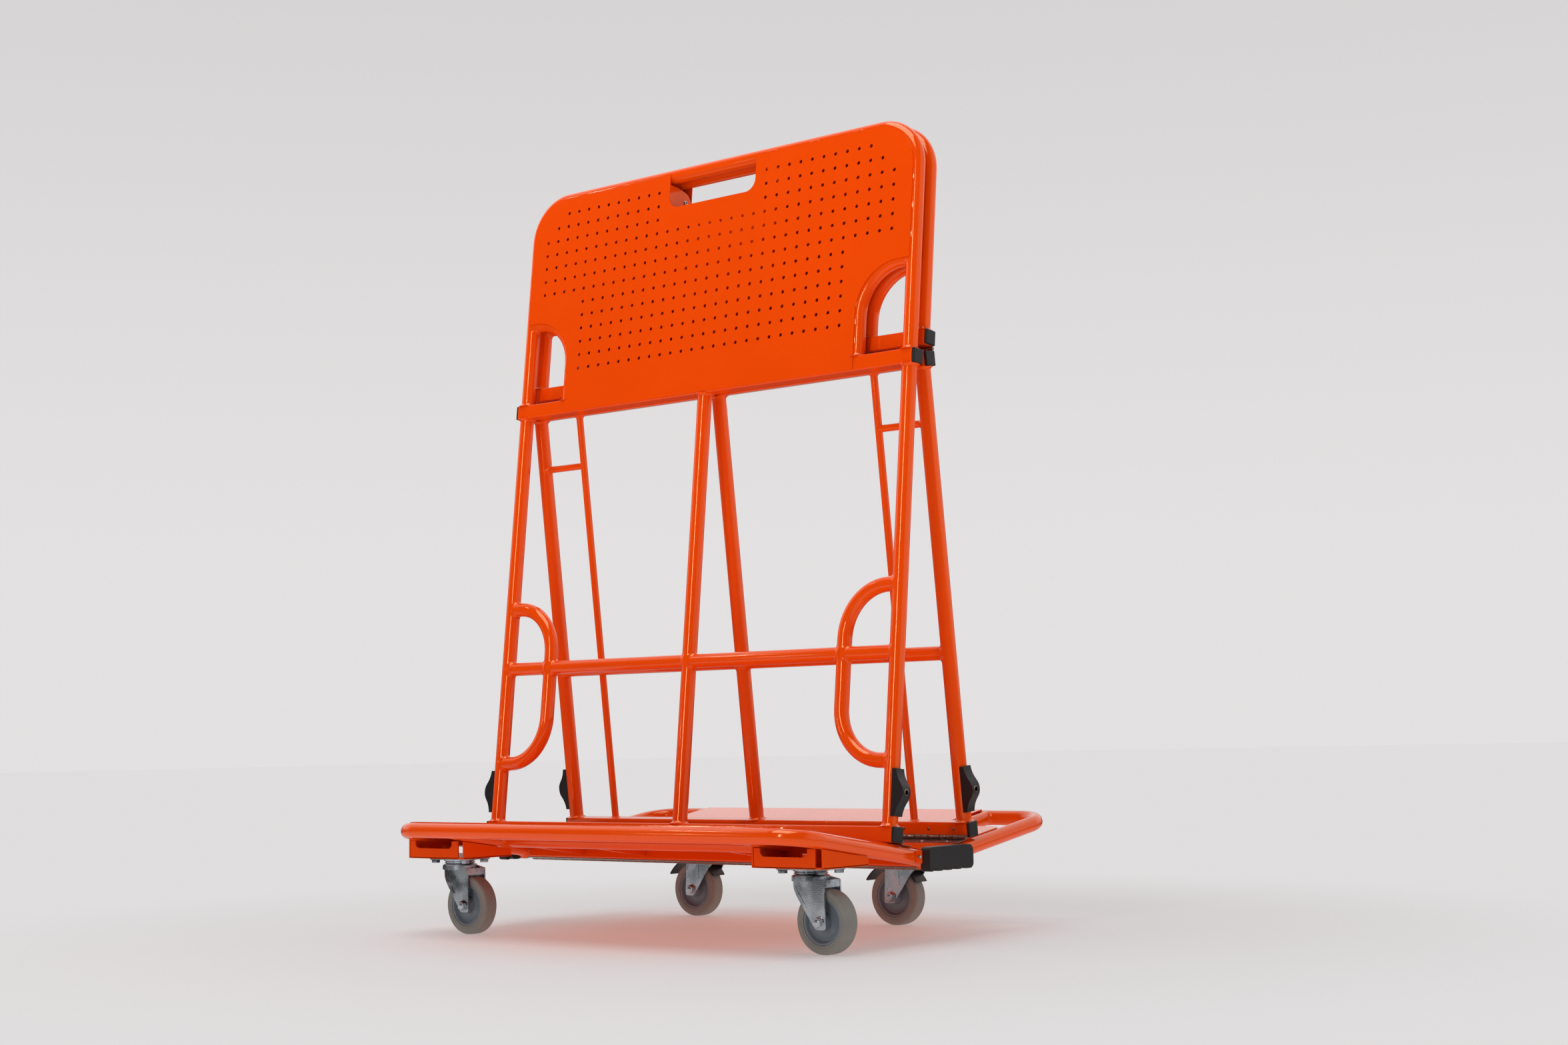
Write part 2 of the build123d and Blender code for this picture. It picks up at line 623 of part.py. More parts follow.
far_rails = rail(legs())
nodes["far_cross_bars"] = far_side(FRAME, group(square_bar(0, 0), square_bar(0, MID_BAR_H)))
nodes["far_bar_caps"] = far_side(FRAME, group(bar_caps(0, 0), bar_caps(0, MID_BAR_H)))
nodes["far_lower_tubes"] = far_side(FRAME, group(*legs(), far_rails))
nodes["far_ladder_tubes"] = far_side(FRAME, ladder([*legs(), *far_rails.solids()]))
nodes["far_bumpers"] = far_side(FRAME, bumpers())
nodes["far_hinge_frame_leaf"] = far_side(FRAME, leg_hinge_frame_leaf())
nodes["mid_hinge_lower_leaf"] = far_side(FRAME, mid_hinge_lower_leaf())

bracing = deck_bracing()
nodes["near_deck_loop"] = near_side(DECK, deck_loop())
nodes["near_deck_bracing"] = group(near_side(DECK, group(*bracing)), *grip_tabs())
nodes["near_deck_plate"] = near_side(DECK, deck_plate(False))
nodes["near_hinge_deck_leaf"] = near_side(DECK, leg_hinge_deck_leaf())
nodes["near_hinge_pin"] = hinge_pin(-LEG_HINGE_Y, LEG_HINGE_Z)
nodes["fold_hinge_near_leaf"] = near_side(DECK, fold_leaf(0))
nodes["fold_hinge_pin"] = hinge_pin(0, FOLD_Z)
nodes["end_grips"] = end_grips()

nodes["far_deck_loop"] = far_side(DECK, deck_loop())
nodes["far_deck_bracing"] = far_side(DECK, group(*bracing))
nodes["far_deck_plate"] = far_side(DECK, deck_plate(True))
nodes["far_hinge_deck_leaf"] = far_side(DECK, leg_hinge_deck_leaf())
nodes["far_hinge_pin"] = hinge_pin(LEG_HINGE_Y, LEG_HINGE_Z)
nodes["fold_hinge_far_leaf"] = far_side(DECK, fold_leaf(1))

for row, caster_x, facing in (("near", NEAR_CASTER_X, -1), ("far", FAR_CASTER_X, 1)):
    turn = Rot(0, 0, 0 if row == "near" else 180)
    bracket = caster_bracket() if row == "far" else mirror(caster_bracket(), about=Plane.XZ)
    places = {
        "left": Pos(-caster_x, facing * CASTER_Y, 0) * turn,
        "right": Pos(caster_x, facing * CASTER_Y, 0) * turn,
    }
    nodes[f"{row}_caster_brackets"] = group(*[Pos(side * caster_x, 0, 0) * bracket for side in SIDES])
    nodes[f"{row}_caster_plates"] = group(*[place * caster_plate() for place in places.values()])
    bolts = [place * bolt for place in places.values() for bolt in caster_bolts()]
    nodes[f"{row}_caster_bolts"] = group(*bolts)
    for hand, place in places.items():
        nodes[f"{row}_{hand}_fork"] = place * fork(row == "far")
        nodes[f"{row}_{hand}_axle"] = place * axle()
        nodes[f"{row}_{hand}_tyre"] = place * tyre()
        nodes[f"{row}_{hand}_wheel_core"] = place * wheel_core()
        if row == "far":
            nodes[f"{row}_{hand}_brake"] = place * brake()

for name, shape in nodes.items():
    export_step(shape, f"parts/{name}.step")
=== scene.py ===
"""A folding panel cart: coated tubes, a peg panel and a plain one, a two-leaf deck and four casters."""

import contextlib
import json
import math

import bmesh
import bpy
from mathutils import Matrix, Vector


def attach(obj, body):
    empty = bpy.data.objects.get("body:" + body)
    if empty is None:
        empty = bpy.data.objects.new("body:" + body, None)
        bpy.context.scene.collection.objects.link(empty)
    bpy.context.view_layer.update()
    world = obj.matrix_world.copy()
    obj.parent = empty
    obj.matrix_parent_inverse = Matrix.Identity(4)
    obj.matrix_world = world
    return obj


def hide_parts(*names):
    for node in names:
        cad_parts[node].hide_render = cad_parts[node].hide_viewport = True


bl_info = {
    "name": "Panel Cart Dresser",
    "version": (1, 0, 0),
    "blender": (4, 5, 0),
    "location": "View3D > Sidebar > Cart",
    "description": "Builds the visible pieces of a folding panel cart round its CAD frame",
    "category": "Object",
}

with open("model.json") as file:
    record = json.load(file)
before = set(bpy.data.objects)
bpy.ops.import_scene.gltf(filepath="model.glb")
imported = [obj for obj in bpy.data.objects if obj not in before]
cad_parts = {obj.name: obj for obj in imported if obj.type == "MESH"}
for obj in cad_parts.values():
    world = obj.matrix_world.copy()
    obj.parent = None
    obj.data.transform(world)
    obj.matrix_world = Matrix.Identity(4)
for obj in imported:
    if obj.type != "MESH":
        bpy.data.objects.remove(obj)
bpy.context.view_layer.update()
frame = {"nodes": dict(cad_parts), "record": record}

# Shapes are drawn in millimetres. Each half of the A-frame has a leaning frame of its own, with Y
# pointing outwards and Z up along the legs, and each deck leaf has a sloping one. Two turns stand a
# flat sheet up, with its face along Y or along X.
MM = Matrix.Scale(0.001, 4)
HERE = Matrix.Identity(4)
NEAR = Matrix.Scale(-1, 4, (0, 1, 0))
FAR = Matrix.Identity(4)
BEAM_Y = 102.7
BEAM_Z = 175.0
LEAN_ANGLE = math.radians(6.36)
FOLD_Z = 116.6
SLOPE_ANGLE = math.radians(8.9)
LEAN = Matrix.Translation((0, BEAM_Y, BEAM_Z)) @ Matrix.Rotation(LEAN_ANGLE, 4, "X")
SLOPE = Matrix.Translation((0, 0, FOLD_Z)) @ Matrix.Rotation(SLOPE_ANGLE, 4, "X")
NEAR_FRAME = NEAR @ LEAN
FAR_FRAME = FAR @ LEAN
UPRIGHT = Matrix.Rotation(math.pi / 2, 4, "X")
SIDEWAYS = Matrix(((0, 0, 1, 0), (1, 0, 0, 0), (0, 1, 0, 0), (0, 0, 0, 1)))
SIDES = (-1, 1)
FINISHES = {}
SMOOTH_ANGLE = math.radians(35.0)
SHARP_ANGLE = math.radians(30.0)

# Material slots of the record
PAINT = "orange_paint"
PLASTIC = "black_plastic"
ZINC = "zinc_steel"
STEEL = "hinge_steel"
RUBBER = "grey_tread"
HUB = "grey_core"

# Tubes, bars and panels. Outlines give each corner's place and radius.
TUBE = 12.7
NOTCHED = 12.3
RAIL = 11.9
SADDLE = 12.5
BEND_STEPS = 14
BAR_HALF = 12.7
BAR = 2 * BAR_HALF
BAR_CORNER = 2.5
CAP_DEPTH = 5.0
BAR_LENGTH = 914.4
BAR_END = BAR_LENGTH / 2
BAR_X = (-BAR_END, BAR_END)
LEG_X = 444.5
RAIL_H = 289.7
MID_BAR_H = 773.2
LEG_TOP_H = MID_BAR_H - BAR_HALF
HOOP_FOOT_H = MID_BAR_H + BAR_HALF
TOP_TUBE_H = 1177.1
HOOP_BEND = 75.0
ARCH_X = 336.5
ARCH_H = 941.0
ARCH_BEND = 85.0
LOOP_X = 337.0
LOOP_LOW_H = 117.0
LOOP_HIGH_H = 400.0
LOOP_BEND = 85.0
LADDER_X = 343.5
LADDER = 6.35
LADDER_SIDES = 28
LADDER_BEAD = 0.8
RUNG = LADDER - 0.2
RUNG_H = 668.6
HOOP_SPACING = 32.0
UPPER_BAR_H = 812.0
FAR_HOOP_FOOT_H = UPPER_BAR_H + BAR_HALF
PANEL_LOW_H = MID_BAR_H - BAR_HALF + 2
FAR_PANEL_LOW_H = UPPER_BAR_H - BAR_HALF + 25
SHEET = 1.5
PEG_PITCH = 25.4
PEG_ROWS = 13
PEG_LOW_H = 841.7
PEG_COLUMNS = 16
ARCH_ROW = 6
ARCH_COLUMNS = 12
SLOT_ROW = 10
SLOT_COLUMNS = 5
SLOT_HALF = 101.6
SLOT_LOW_H = 1113.5
SLOT_CORNER = 22.0
LUG = 3.0
LUG_SCREW = Vector((-29.0, 22.5))
LUG_END = 1.0 - HOOP_SPACING - TUBE
STRAP = [(TUBE, -14, 0), (TUBE, 45, 0), (-8, 45, 0), (LUG_END, 38, 15), (LUG_END, -14, 0)]

# Welds. The face of a bead is given outwards and upwards in bead heights, and its ripples by depth,
# count and start. Stitches have a first place, a pitch and a half-size.
BEAD_FACE = ((1.7, 0.0), (0.85, 0.4), (0.35, 0.9))
BEAD_TOP = 1.8
BEAD_LIP = 0.2
BEAD_ROOT = 1.5
BEAD_SUNK = 0.8
RIPPLES = ((0.12, 14, 0.0), (0.06, 5, 1.0))
STITCHES = 3
STITCH_OUT = 1.5
STITCH_Y = TUBE - 1.0
TOP_STITCH = (135.0, 95.0, (13.0, 2.2, 2.0))
EDGE_STITCH = (40.0, 50.0, (2.0, 2.2, 12.0))
ARCH_STITCH = (40.0, 32.0, (2.0, 2.2, 10.0))

# Deck
DECK_HALF = 452.0
DECK_REACH = 345.0
DECK_BEND = 55.0
CROSS_TUBE_REACH = 199.5
NOTCH_X = 318.0
NOTCH_REACH = 203.0
NOTCH_CORNER = 12.0
NOTCH_TUBE_X = 330.0
NOTCH_TUBE = NOTCHED - 0.3
NOTCHED_Z = BAR - NOTCHED
RIB = 4.0
RIB_EASE = 0.4
RIB_Z = (BAR - 20.0, BAR)
RIB_PLACES = (150.0, 300.0)
PLATE = 2.0
DECK_TOP = BAR + PLATE
FOLD_GAP = 4.6
INNER_REACH = FOLD_GAP + BAR
RIB_Y = (INNER_REACH - 1, CROSS_TUBE_REACH)
SHEET_X = DECK_HALF - 2
WHOLE_LEAF = [(SHEET_X, FOLD_GAP, 0), (SHEET_X, DECK_REACH, DECK_BEND)]
NOTCHED_LEAF = [(SHEET_X, FOLD_GAP, 0), (SHEET_X, NOTCH_REACH, NOTCH_CORNER),
                (NOTCH_X, NOTCH_REACH, NOTCH_CORNER), (NOTCH_X, DECK_REACH, 0)]

# Piano hinges
LEAF = 1.2
LEAF_EASE = 0.3
KNUCKLES = 72
KNUCKLE_PITCH = BAR_LENGTH / KNUCKLES
KNUCKLE_GAP = 0.25
KNUCKLE_EASE = 0.3
LEG_KNUCKLE = 3.5
FOLD_KNUCKLE = 3.2
PIN = 1.5
PIN_BORE = 1.65
PIN_END = BAR_END + 0.5
PIN_HEAD_X = BAR_END + 0.3
PIN_HEAD = (0.9, 2.4, 2.4)
LEG_PIN = Vector((0.0, 87.2, 162.2))
LEG_STRIP_H = (-8.0, 10.0)
LEG_TAB_H = -7.5
LEG_RIVET_H = 1.5
DECK_STRIP_Y = (66.0, 90.4)
DECK_TAB_Y = 90.0
DECK_TAB_LAP = 0.8
DECK_RIVET_Y = 76.0
FOLD_LEAF_Y = (4.2, 27.0)
RIVETS = 18
RIVET_PITCH = 50.8

# Bumpers and grips
BUMPER_H = 66.0
BUMPER_PEAK = 17.2
BUMPER_FACE = LEG_X + TUBE + BUMPER_PEAK
GRIP_X = 471.0
GRIP_DEPTH = 18.0
GRIP_NEAR = -58.0
GRIP_FAR = 62.0
GRIP_LOW = 115.5
GRIP_HIGH = 154.0
GROOVES = (33.7, 8.3, -17.1, -42.5)
GROOVE_HALF = 5.5
GROOVE_DEPTH = 6.0
GRIP = [(GRIP_NEAR, GRIP_LOW, 5), (GRIP_NEAR, GRIP_HIGH, 8),
        (GRIP_FAR, GRIP_HIGH, 11), (GRIP_FAR, GRIP_LOW, 9)]
GROOVE = [(GROOVE_HALF, GRIP_LOW, 3), (0.0, GRIP_LOW + GROOVE_DEPTH, 1), (-GROOVE_HALF, GRIP_LOW, 3)]
TAB = 3.0
TAB_EASE = 0.8
TAB_X = (462.0, 475.0)
TAB_Z = (128.5, 149.0)
TAB_SCREW_X = TAB_X[1] - 3.5

# Caster brackets and casters
BRACKET_X = (-76.5, 64.5)
BRACKET_Y = (178.0, 290.0)
BRACKET_LOW = 131.5
BRACKET_TOPS = (144.5, 162.0)
BRACKET_SHEET = 3.0
BRACKET_EASE = 0.9
BRACKET_BACK = (213.0, 214.5)
BRACKET_BACK_LAP = 2.0
BRACKET_BACK_TOP = 175.0
BRACKET_RISE = 7.0
BRACKET_SLIT = (-38.0, -19.0)
FLANGE_X = (-72.0, 49.0)
SCOOP_X = (-60.0, 33.5)
SCOOP_LOW = 149.0
SCOOP_CORNER = 9.0
CASTER_PLATE_Z = 128.5
CASTER_PLATE_EASE = 0.5
FORK_EASE = 0.7
BRAKE_EASE = 0.9
BOLT_X = 37.5
BOLT_Y = 22.5
BOLT_WASHER = (4.0, 8.6, 1.3)
BOLT_HEAD = (7.4, 4.7)
FORK_OUTER = 21.5
AXLE = 5.0
AXLE_WASHER = (4.5, 10.0, 1.2)
AXLE_NUT = (8.4, 4.6, 0.9)
AXLE_END_H = 5.6
WHEEL = Vector((30.0, 0.0, 50.0))
NEAR_CASTER_X = 395.0
FAR_CASTER_X = 233.0
CASTER_Y = 240.0
ABOUT = Matrix.Rotation(math.pi, 4, "Z")
CASTERS = {
    "near_left": Matrix.Translation((-NEAR_CASTER_X, -CASTER_Y, 0.0)),
    "near_right": Matrix.Translation((NEAR_CASTER_X, -CASTER_Y, 0.0)),
    "far_left": Matrix.Translation((-FAR_CASTER_X, CASTER_Y, 0.0)) @ ABOUT,
    "far_right": Matrix.Translation((FAR_CASTER_X, CASTER_Y, 0.0)) @ ABOUT,
}

# Sections to be turned, as radius and height
RIVET = [(0.0, 0.35), (0.32, 0.4), (0.46, 1.0), (0.79, 0.8), (1.0, 0.0), (0.0, 0.0)]
EYELET = [(4.1, -4.0), (4.1, 0.1), (4.5, 0.4), (5.3, 0.3), (5.6, -0.2), (5.6, -4.0)]
GRIP_SCREW = [(0.0, 1.0), (1.1, 1.0), (1.4, 1.8), (2.6, 1.4), (3.3, 0.0), (0.0, 0.0)]
LUG_HEAD = [(0.0, 0.8), (1.9, 0.8), (2.1, 2.4), (3.3, 2.3), (4.0, 1.5), (4.0, 0.0), (0.0, 0.0)]
AXLE_END = [(0.0, 0.0), (4.6, 0.0), (4.6, 0.3), (4.0, 0.6), (0.0, 0.6)]
TREAD = [
    (36.1, 13.4), (36.7, 14.0), (39.0, 14.0), (39.3, 13.6), (39.9, 13.6), (40.2, 14.0), (45.6, 14.0),
    (47.6, 13.3), (49.1, 11.8), (49.8, 10.0), (50.0, 7.5), (50.0, 2.5)]
CORE = [
    (5.3, 18.3), (11.4, 18.3), (12.6, 17.2), (13.0, 9.0), (14.5, 6.6), (18.0, 6.0), (26.5, 6.0),
    (29.5, 7.2), (31.2, 10.2), (32.2, 12.4), (33.2, 13.0), (35.4, 13.0), (36.0, 12.6)]

# Stage, in metres and watts: each lamp's place, target, size and power
FRONT_TUBE = (0.27, -0.34, 0.18)
LAMPS = {
    "front_strip": ((0.7, -5.2, 2.1), (0.0, 0.0, 0.7), (0.38, 3.0), 54.0),
    "left_spot": ((-2.38, -1.68, 2.86), FRONT_TUBE, (0.1, 0.1), 2.0),
    "left_window": ((-2.4, -3.2, 1.0), FRONT_TUBE, (0.08, 0.08), 1.3),
    "overhead": ((0.0, -1.2, 4.2), (0.0, 0.0, 0.4), (2.8, 2.8), 89.0),
}
FLOOR_RADIUS = 30.0
BACK_WAY = (-0.66, 0.75, 0.0)
RIGHT_WAY = (0.75, 0.66, 0.0)
LENS = 52.22
SENSOR = 36.0
CAMERA_PLACE = (2.6084, -2.9841, 0.3368)
CAMERA_TURN = (95.2969, 1.1281, 39.4923)


# Finishes


class Level:
    """A number that changes over a surface. Sums and products of levels add Math nodes."""

    def __init__(self, finish, socket):
        self.finish = finish
        self.socket = socket

    def __add__(self, other):
        return self.finish.maths("ADD", self, other)

    def __radd__(self, other):
        return self.finish.maths("ADD", other, self)

    def __sub__(self, other):
        return self.finish.maths("SUBTRACT", self, other)

    def __rsub__(self, other):
        return self.finish.maths("SUBTRACT", other, self)

    def __mul__(self, other):
        return self.finish.maths("MULTIPLY", self, other)

    def __rmul__(self, other):
        return self.finish.maths("MULTIPLY", other, self)


class Finish:
    """A procedural material, or the studio's surround, that is drawn node by node."""

    def __init__(self, owner, place="Object"):
        self.material = owner
        owner.use_nodes = True
        self.tree = owner.node_tree
        self.tree.nodes.clear()
        self.place = self.node("ShaderNodeTexCoord").outputs[place]

    def node(self, kind, settings=None, sockets=None):
        """Add a node, with its settings first and then the values or links of its sockets."""
        made = self.tree.nodes.new(kind)
        for key, value in (settings or {}).items():
            setattr(made, key, value)
        for key, value in (sockets or {}).items():
            if isinstance(value, Level):
                value = value.socket
            if isinstance(value, bpy.types.NodeSocket):
                self.tree.links.new(value, made.inputs[key])
            else:
                made.inputs[key].default_value = value
        return made

    def maths(self, operation, first, second):
        """One Math node on two numbers."""
        made = self.node("ShaderNodeMath", {"operation": operation}, {0: first, 1: second})
        return Level(self, made.outputs[0])

    def noise(self, scale, detail=2.0):
        """A cloud of values about a half, with so many cells to the metre."""
        sockets = {"Vector": self.place, "Scale": scale, "Detail": detail}
        return Level(self, self.node("ShaderNodeTexNoise", None, sockets).outputs[0])

    def between(self, level, low, high):
        """A smooth step from nought at one level to one at another."""
        settings = {"interpolation_type": "SMOOTHSTEP"}
        sockets = {"Value": level, "From Min": low, "From Max": high}
        return Level(self, self.node("ShaderNodeMapRange", settings, sockets).outputs[0])

    def mixed(self, level, first, second):
        """A colour between two colours."""
        made = self.node("ShaderNodeMix", {"data_type": "RGBA"}, {0: level, 6: first, 7: second})
        return made.outputs[2]

    def bump(self, level, strength, distance):
        """A normal pushed up and down by a level, with the depth in metres."""
        sockets = {"Strength": strength, "Distance": distance, "Height": level}
        return self.node("ShaderNodeBump", None, sockets).outputs[0]

    def surface(self, sockets):
        """Close the material with one shader."""
        shader = self.node("ShaderNodeBsdfPrincipled", None, sockets)
        self.node("ShaderNodeOutputMaterial", None, {"Surface": shader.outputs[0]})
        return self.material


def shaded(colour, factor):
    """A colour made lighter or darker."""
    return [channel * factor for channel in colour[:3]] + [1.0]


def powder_coat(colour):
    """Glossy orange paint with the faint peel of a baked powder."""
    paint = Finish(bpy.data.materials.new(PAINT))
    broad = paint.noise(5.0, 3.0)
    peel = paint.noise(420.0, 2.0)
    base = paint.mixed(broad, shaded(colour, 0.93), shaded(colour, 1.07))
    return paint.surface({
        "Base Color": base,
        "Roughness": 0.08 + 0.06 * paint.noise(40.0),
        "Normal": paint.bump(peel, 0.1, 0.0005),
        "Specular IOR Level": 1.0,
        "Specular Tint": (1.0, 0.75, 0.4, 1.0),
    })


def moulded_plastic(colour):
    """Black plastic with a fine eroded grain."""
    plastic = Finish(bpy.data.materials.new(PLASTIC))
    grain = plastic.noise(1500.0, 3.0)
    base = plastic.mixed(plastic.noise(30.0), shaded(colour, 0.8), shaded(colour, 1.25))
    return plastic.surface({
        "Base Color": base,
        "Roughness": 0.33 + 0.18 * grain,
        "Specular IOR Level": 0.4,
        "Normal": plastic.bump(grain, 0.25, 0.0004),
    })


def zinc_plate(colour):
    """Bright plated steel with a cloudy bloom, dull spots and a fine grain."""
    zinc = Finish(bpy.data.materials.new(ZINC))
    bloom = zinc.between(zinc.noise(32.0, 5.0), 0.36, 0.66)
    spots = zinc.between(zinc.noise(260.0, 3.0), 0.55, 0.75)
    base = zinc.mixed(bloom, shaded(colour, 0.7), shaded(colour, 1.45))
    return zinc.surface({
        "Base Color": base,
        "Metallic": 1.0,
        "Roughness": 0.1 + 0.18 * bloom + 0.12 * spots,
        "Normal": zinc.bump(zinc.noise(600.0, 3.0), 0.15, 0.0004),
    })


def hinge_metal(colour):
    """Browned steel of the piano hinges, rubbed bright in places."""
    steel = Finish(bpy.data.materials.new(STEEL))
    rubbed = steel.between(steel.noise(130.0, 5.0), 0.3, 0.8)
    base = steel.mixed(rubbed, colour, shaded(colour, 1.9))
    return steel.surface({
        "Base Color": base,
        "Metallic": 1.0,
        "Roughness": 0.36 - 0.14 * rubbed,
        "Normal": steel.bump(steel.noise(500.0, 3.0), 0.2, 0.0004),
    })


def soft_tread(colour):
    """Warm grey rubber with a dusty bloom."""
    rubber = Finish(bpy.data.materials.new(RUBBER))
    dust = rubber.noise(45.0, 5.0)
    specks = rubber.noise(1800.0, 2.0)
    base = rubber.mixed(dust, shaded(colour, 0.85), shaded(colour, 1.12))
    return rubber.surface({
        "Base Color": base,
        "Roughness": 0.5 + 0.2 * dust,
        "Normal": rubber.bump(specks, 0.2, 0.0003),
    })


def wheel_centre(colour):
    """Dark grey moulded centre of a wheel."""
    core = Finish(bpy.data.materials.new(HUB))
    grain = core.noise(1200.0, 2.0)
    base = core.mixed(core.noise(60.0, 3.0), shaded(colour, 0.85), shaded(colour, 1.15))
    return core.surface({
        "Base Color": base,
        "Roughness": 0.14 + 0.12 * grain,
        "Normal": core.bump(grain, 0.15, 0.0003),
    })


# Settings in the sidebar


def colour_choice(name, description, default):
    """A colour for the sidebar, in linear light."""
    return bpy.props.FloatVectorProperty(
        name=name, description=description, subtype="COLOR", size=4, min=0.0, max=1.0,
        default=(*default, 1.0))


def size_choice(name, description, low, high, default):
    """A length for the sidebar, in metres."""
    return bpy.props.FloatProperty(
        name=name, description=description, unit="LENGTH", min=low, max=high, default=default)


class CartColours(bpy.types.PropertyGroup):
    """Colours of the cart's finishes and of the stage."""

    paint: colour_choice("Paint", "Powder coat on the tubes, bars and sheets", (0.8, 0.062, 0.001))
    plastic: colour_choice("Plastic", "Caps, bumpers, grips and brakes", (0.0105, 0.008, 0.0086))
    zinc: colour_choice("Zinc", "Plated forks, plates and bolts", (0.54, 0.59, 0.63))
    hinge: colour_choice("Hinge", "Knuckles and pins of the piano hinges", (0.24, 0.17, 0.145))
    tread: colour_choice("Tread", "Rubber of the wheels", (0.2, 0.19, 0.17))
    core: colour_choice("Core", "Centres of the wheels", (0.14, 0.165, 0.19))
    # The bounce colour is a painted warm reflection of the orange paint, laid on the floor's glow under the
    # cart.
    painted_bounce: colour_choice("Bounce", "Warm glow of the floor under the cart", (0.8, 0.52, 0.45))
    floor: colour_choice("Floor", "Studio floor and backdrop", (0.745, 0.73, 0.73))


class CartSizes(bpy.types.PropertyGroup):
    """Sizes of the details that are drawn round the CAD frame."""

    peg_hole: size_choice("Peg hole", "Diameter of the holes in the near panel", 0.003, 0.012, 0.00635)
    weld_bead: size_choice("Weld bead", "Height of the beads round the tube ends", 0.001, 0.005, 0.0026)
    rivet_head: size_choice("Rivet head", "Diameter of the rivets along the leg hinges", 0.003, 0.009, 0.0056)
    plug_edge: size_choice("Plug edge", "Rounding of the plugs in the bars' ends", 0.0005, 0.0024, 0.0019)
    bumper_edge: size_choice("Bumper edge", "Rounding of the bumpers", 0.0005, 0.0025, 0.0018)
    grip_edge: size_choice("Grip edge", "Rounding of the hand grips", 0.001, 0.004, 0.0026)


def millimetres(name):
    """A size from the sidebar."""
    return getattr(bpy.context.scene.cart_sizes, name) * 1000


def palette():
    """The finishes by the record's material slot, made once."""
    colours = bpy.context.scene.cart_colours
    makers = {
        PAINT: (powder_coat, colours.paint),
        PLASTIC: (moulded_plastic, colours.plastic),
        ZINC: (zinc_plate, colours.zinc),
        STEEL: (hinge_metal, colours.hinge),
        RUBBER: (soft_tread, colours.tread),
        HUB: (wheel_centre, colours.core),
    }
    for slot, (maker, colour) in makers.items():
        if slot not in FINISHES:
            FINISHES[slot] = maker(colour)
    return FINISHES


class CART_OT_finishes(bpy.types.Operator):
    """Give every CAD node the finish of its material slot"""

    bl_idname = "cart.finishes"
    bl_label = "Finish the CAD nodes"

    def execute(self, context):
        finishes = palette()
        for part in frame["record"]["subparts"]:
            node = frame["nodes"][part["node"]]
            node.data.materials.clear()
            node.data.materials.append(finishes[part["material_slot"]])
        return {"FINISHED"}


# Shapes, drawn in millimetres


def facing(axis, upright=None):
    """A turn that brings Z on to an axis, and Y on to a second one if it is given."""
    if upright is None:
        return Vector(axis).to_track_quat("Z", "Y").to_matrix().to_4x4()
    z = Vector(axis).normalized()
    y = Vector(upright).normalized()
    return Matrix((y.cross(z), y, z)).transposed().to_4x4()


def at(*place):
    """A shift to a place."""
    return Matrix.Translation(Vector(place))


def flipped(side):
    """A mirror in X for the left side, and nothing for the right."""
    return Matrix.Scale(side, 4, (1, 0, 0))


def added(bm, before):
    """The vertices drawn since a set of them was noted."""
    return [vert for vert in bm.verts if vert not in before]


def only(kind, items):
    """The items of one kind among those that an operator gives back."""
    return [item for item in items if isinstance(item, kind)]


def edges_of(verts):
    """The edges that meet some vertices."""
    return list({edge for vert in verts for edge in vert.link_edges})


def mirrored(half):
    """A whole outline or path from its half on one side of X."""
    return half + [(-x, *rest) for x, *rest in reversed(half)]


def rounded(bm, geom, ease, segments, affect="EDGES", clamp=False):
    """Round edges or corners with an even arc."""
    bmesh.ops.bevel(bm, geom=geom, offset=ease, offset_type="OFFSET", segments=segments, profile=0.5,
                    affect=affect, clamp_overlap=clamp, material=-1)


def raised(bm, faces, height):
    """Push flat faces up into a solid and give the vertices of its top."""
    top = only(bmesh.types.BMVert, bmesh.ops.extrude_face_region(bm, geom=faces)["geom"])
    bmesh.ops.translate(bm, verts=top, vec=(0, 0, height))
    return top


def block(bm, place, x, y, z, ease=0.0, along=None):
    """A block between two limits in each direction, with its edges eased, or only those along one axis."""
    size = Matrix.Diagonal((x[1] - x[0], y[1] - y[0], z[1] - z[0], 1.0))
    middle = at((x[0] + x[1]) / 2, (y[0] + y[1]) / 2, (z[0] + z[1]) / 2)
    before = set(bm.verts)
    verts = bmesh.ops.create_cube(bm, size=1.0, matrix=middle @ size)["verts"]
    if ease:
        edges = edges_of(verts)
        if along is not None:
            edges = [edge for edge in edges if edge.verts[0].co[along] != edge.verts[1].co[along]]
        rounded(bm, edges, ease, 3)
    bmesh.ops.transform(bm, matrix=place, verts=added(bm, before))


def extended(bm, edges):
    """Extrude a ring of edges in place and give the new edges and vertices."""
    made = bmesh.ops.extrude_edge_only(bm, edges=edges)["geom"]
    verts = only(bmesh.types.BMVert, made)
    ring = set(verts)
    return [edge for edge in only(bmesh.types.BMEdge, made) if ring.issuperset(edge.verts)], verts


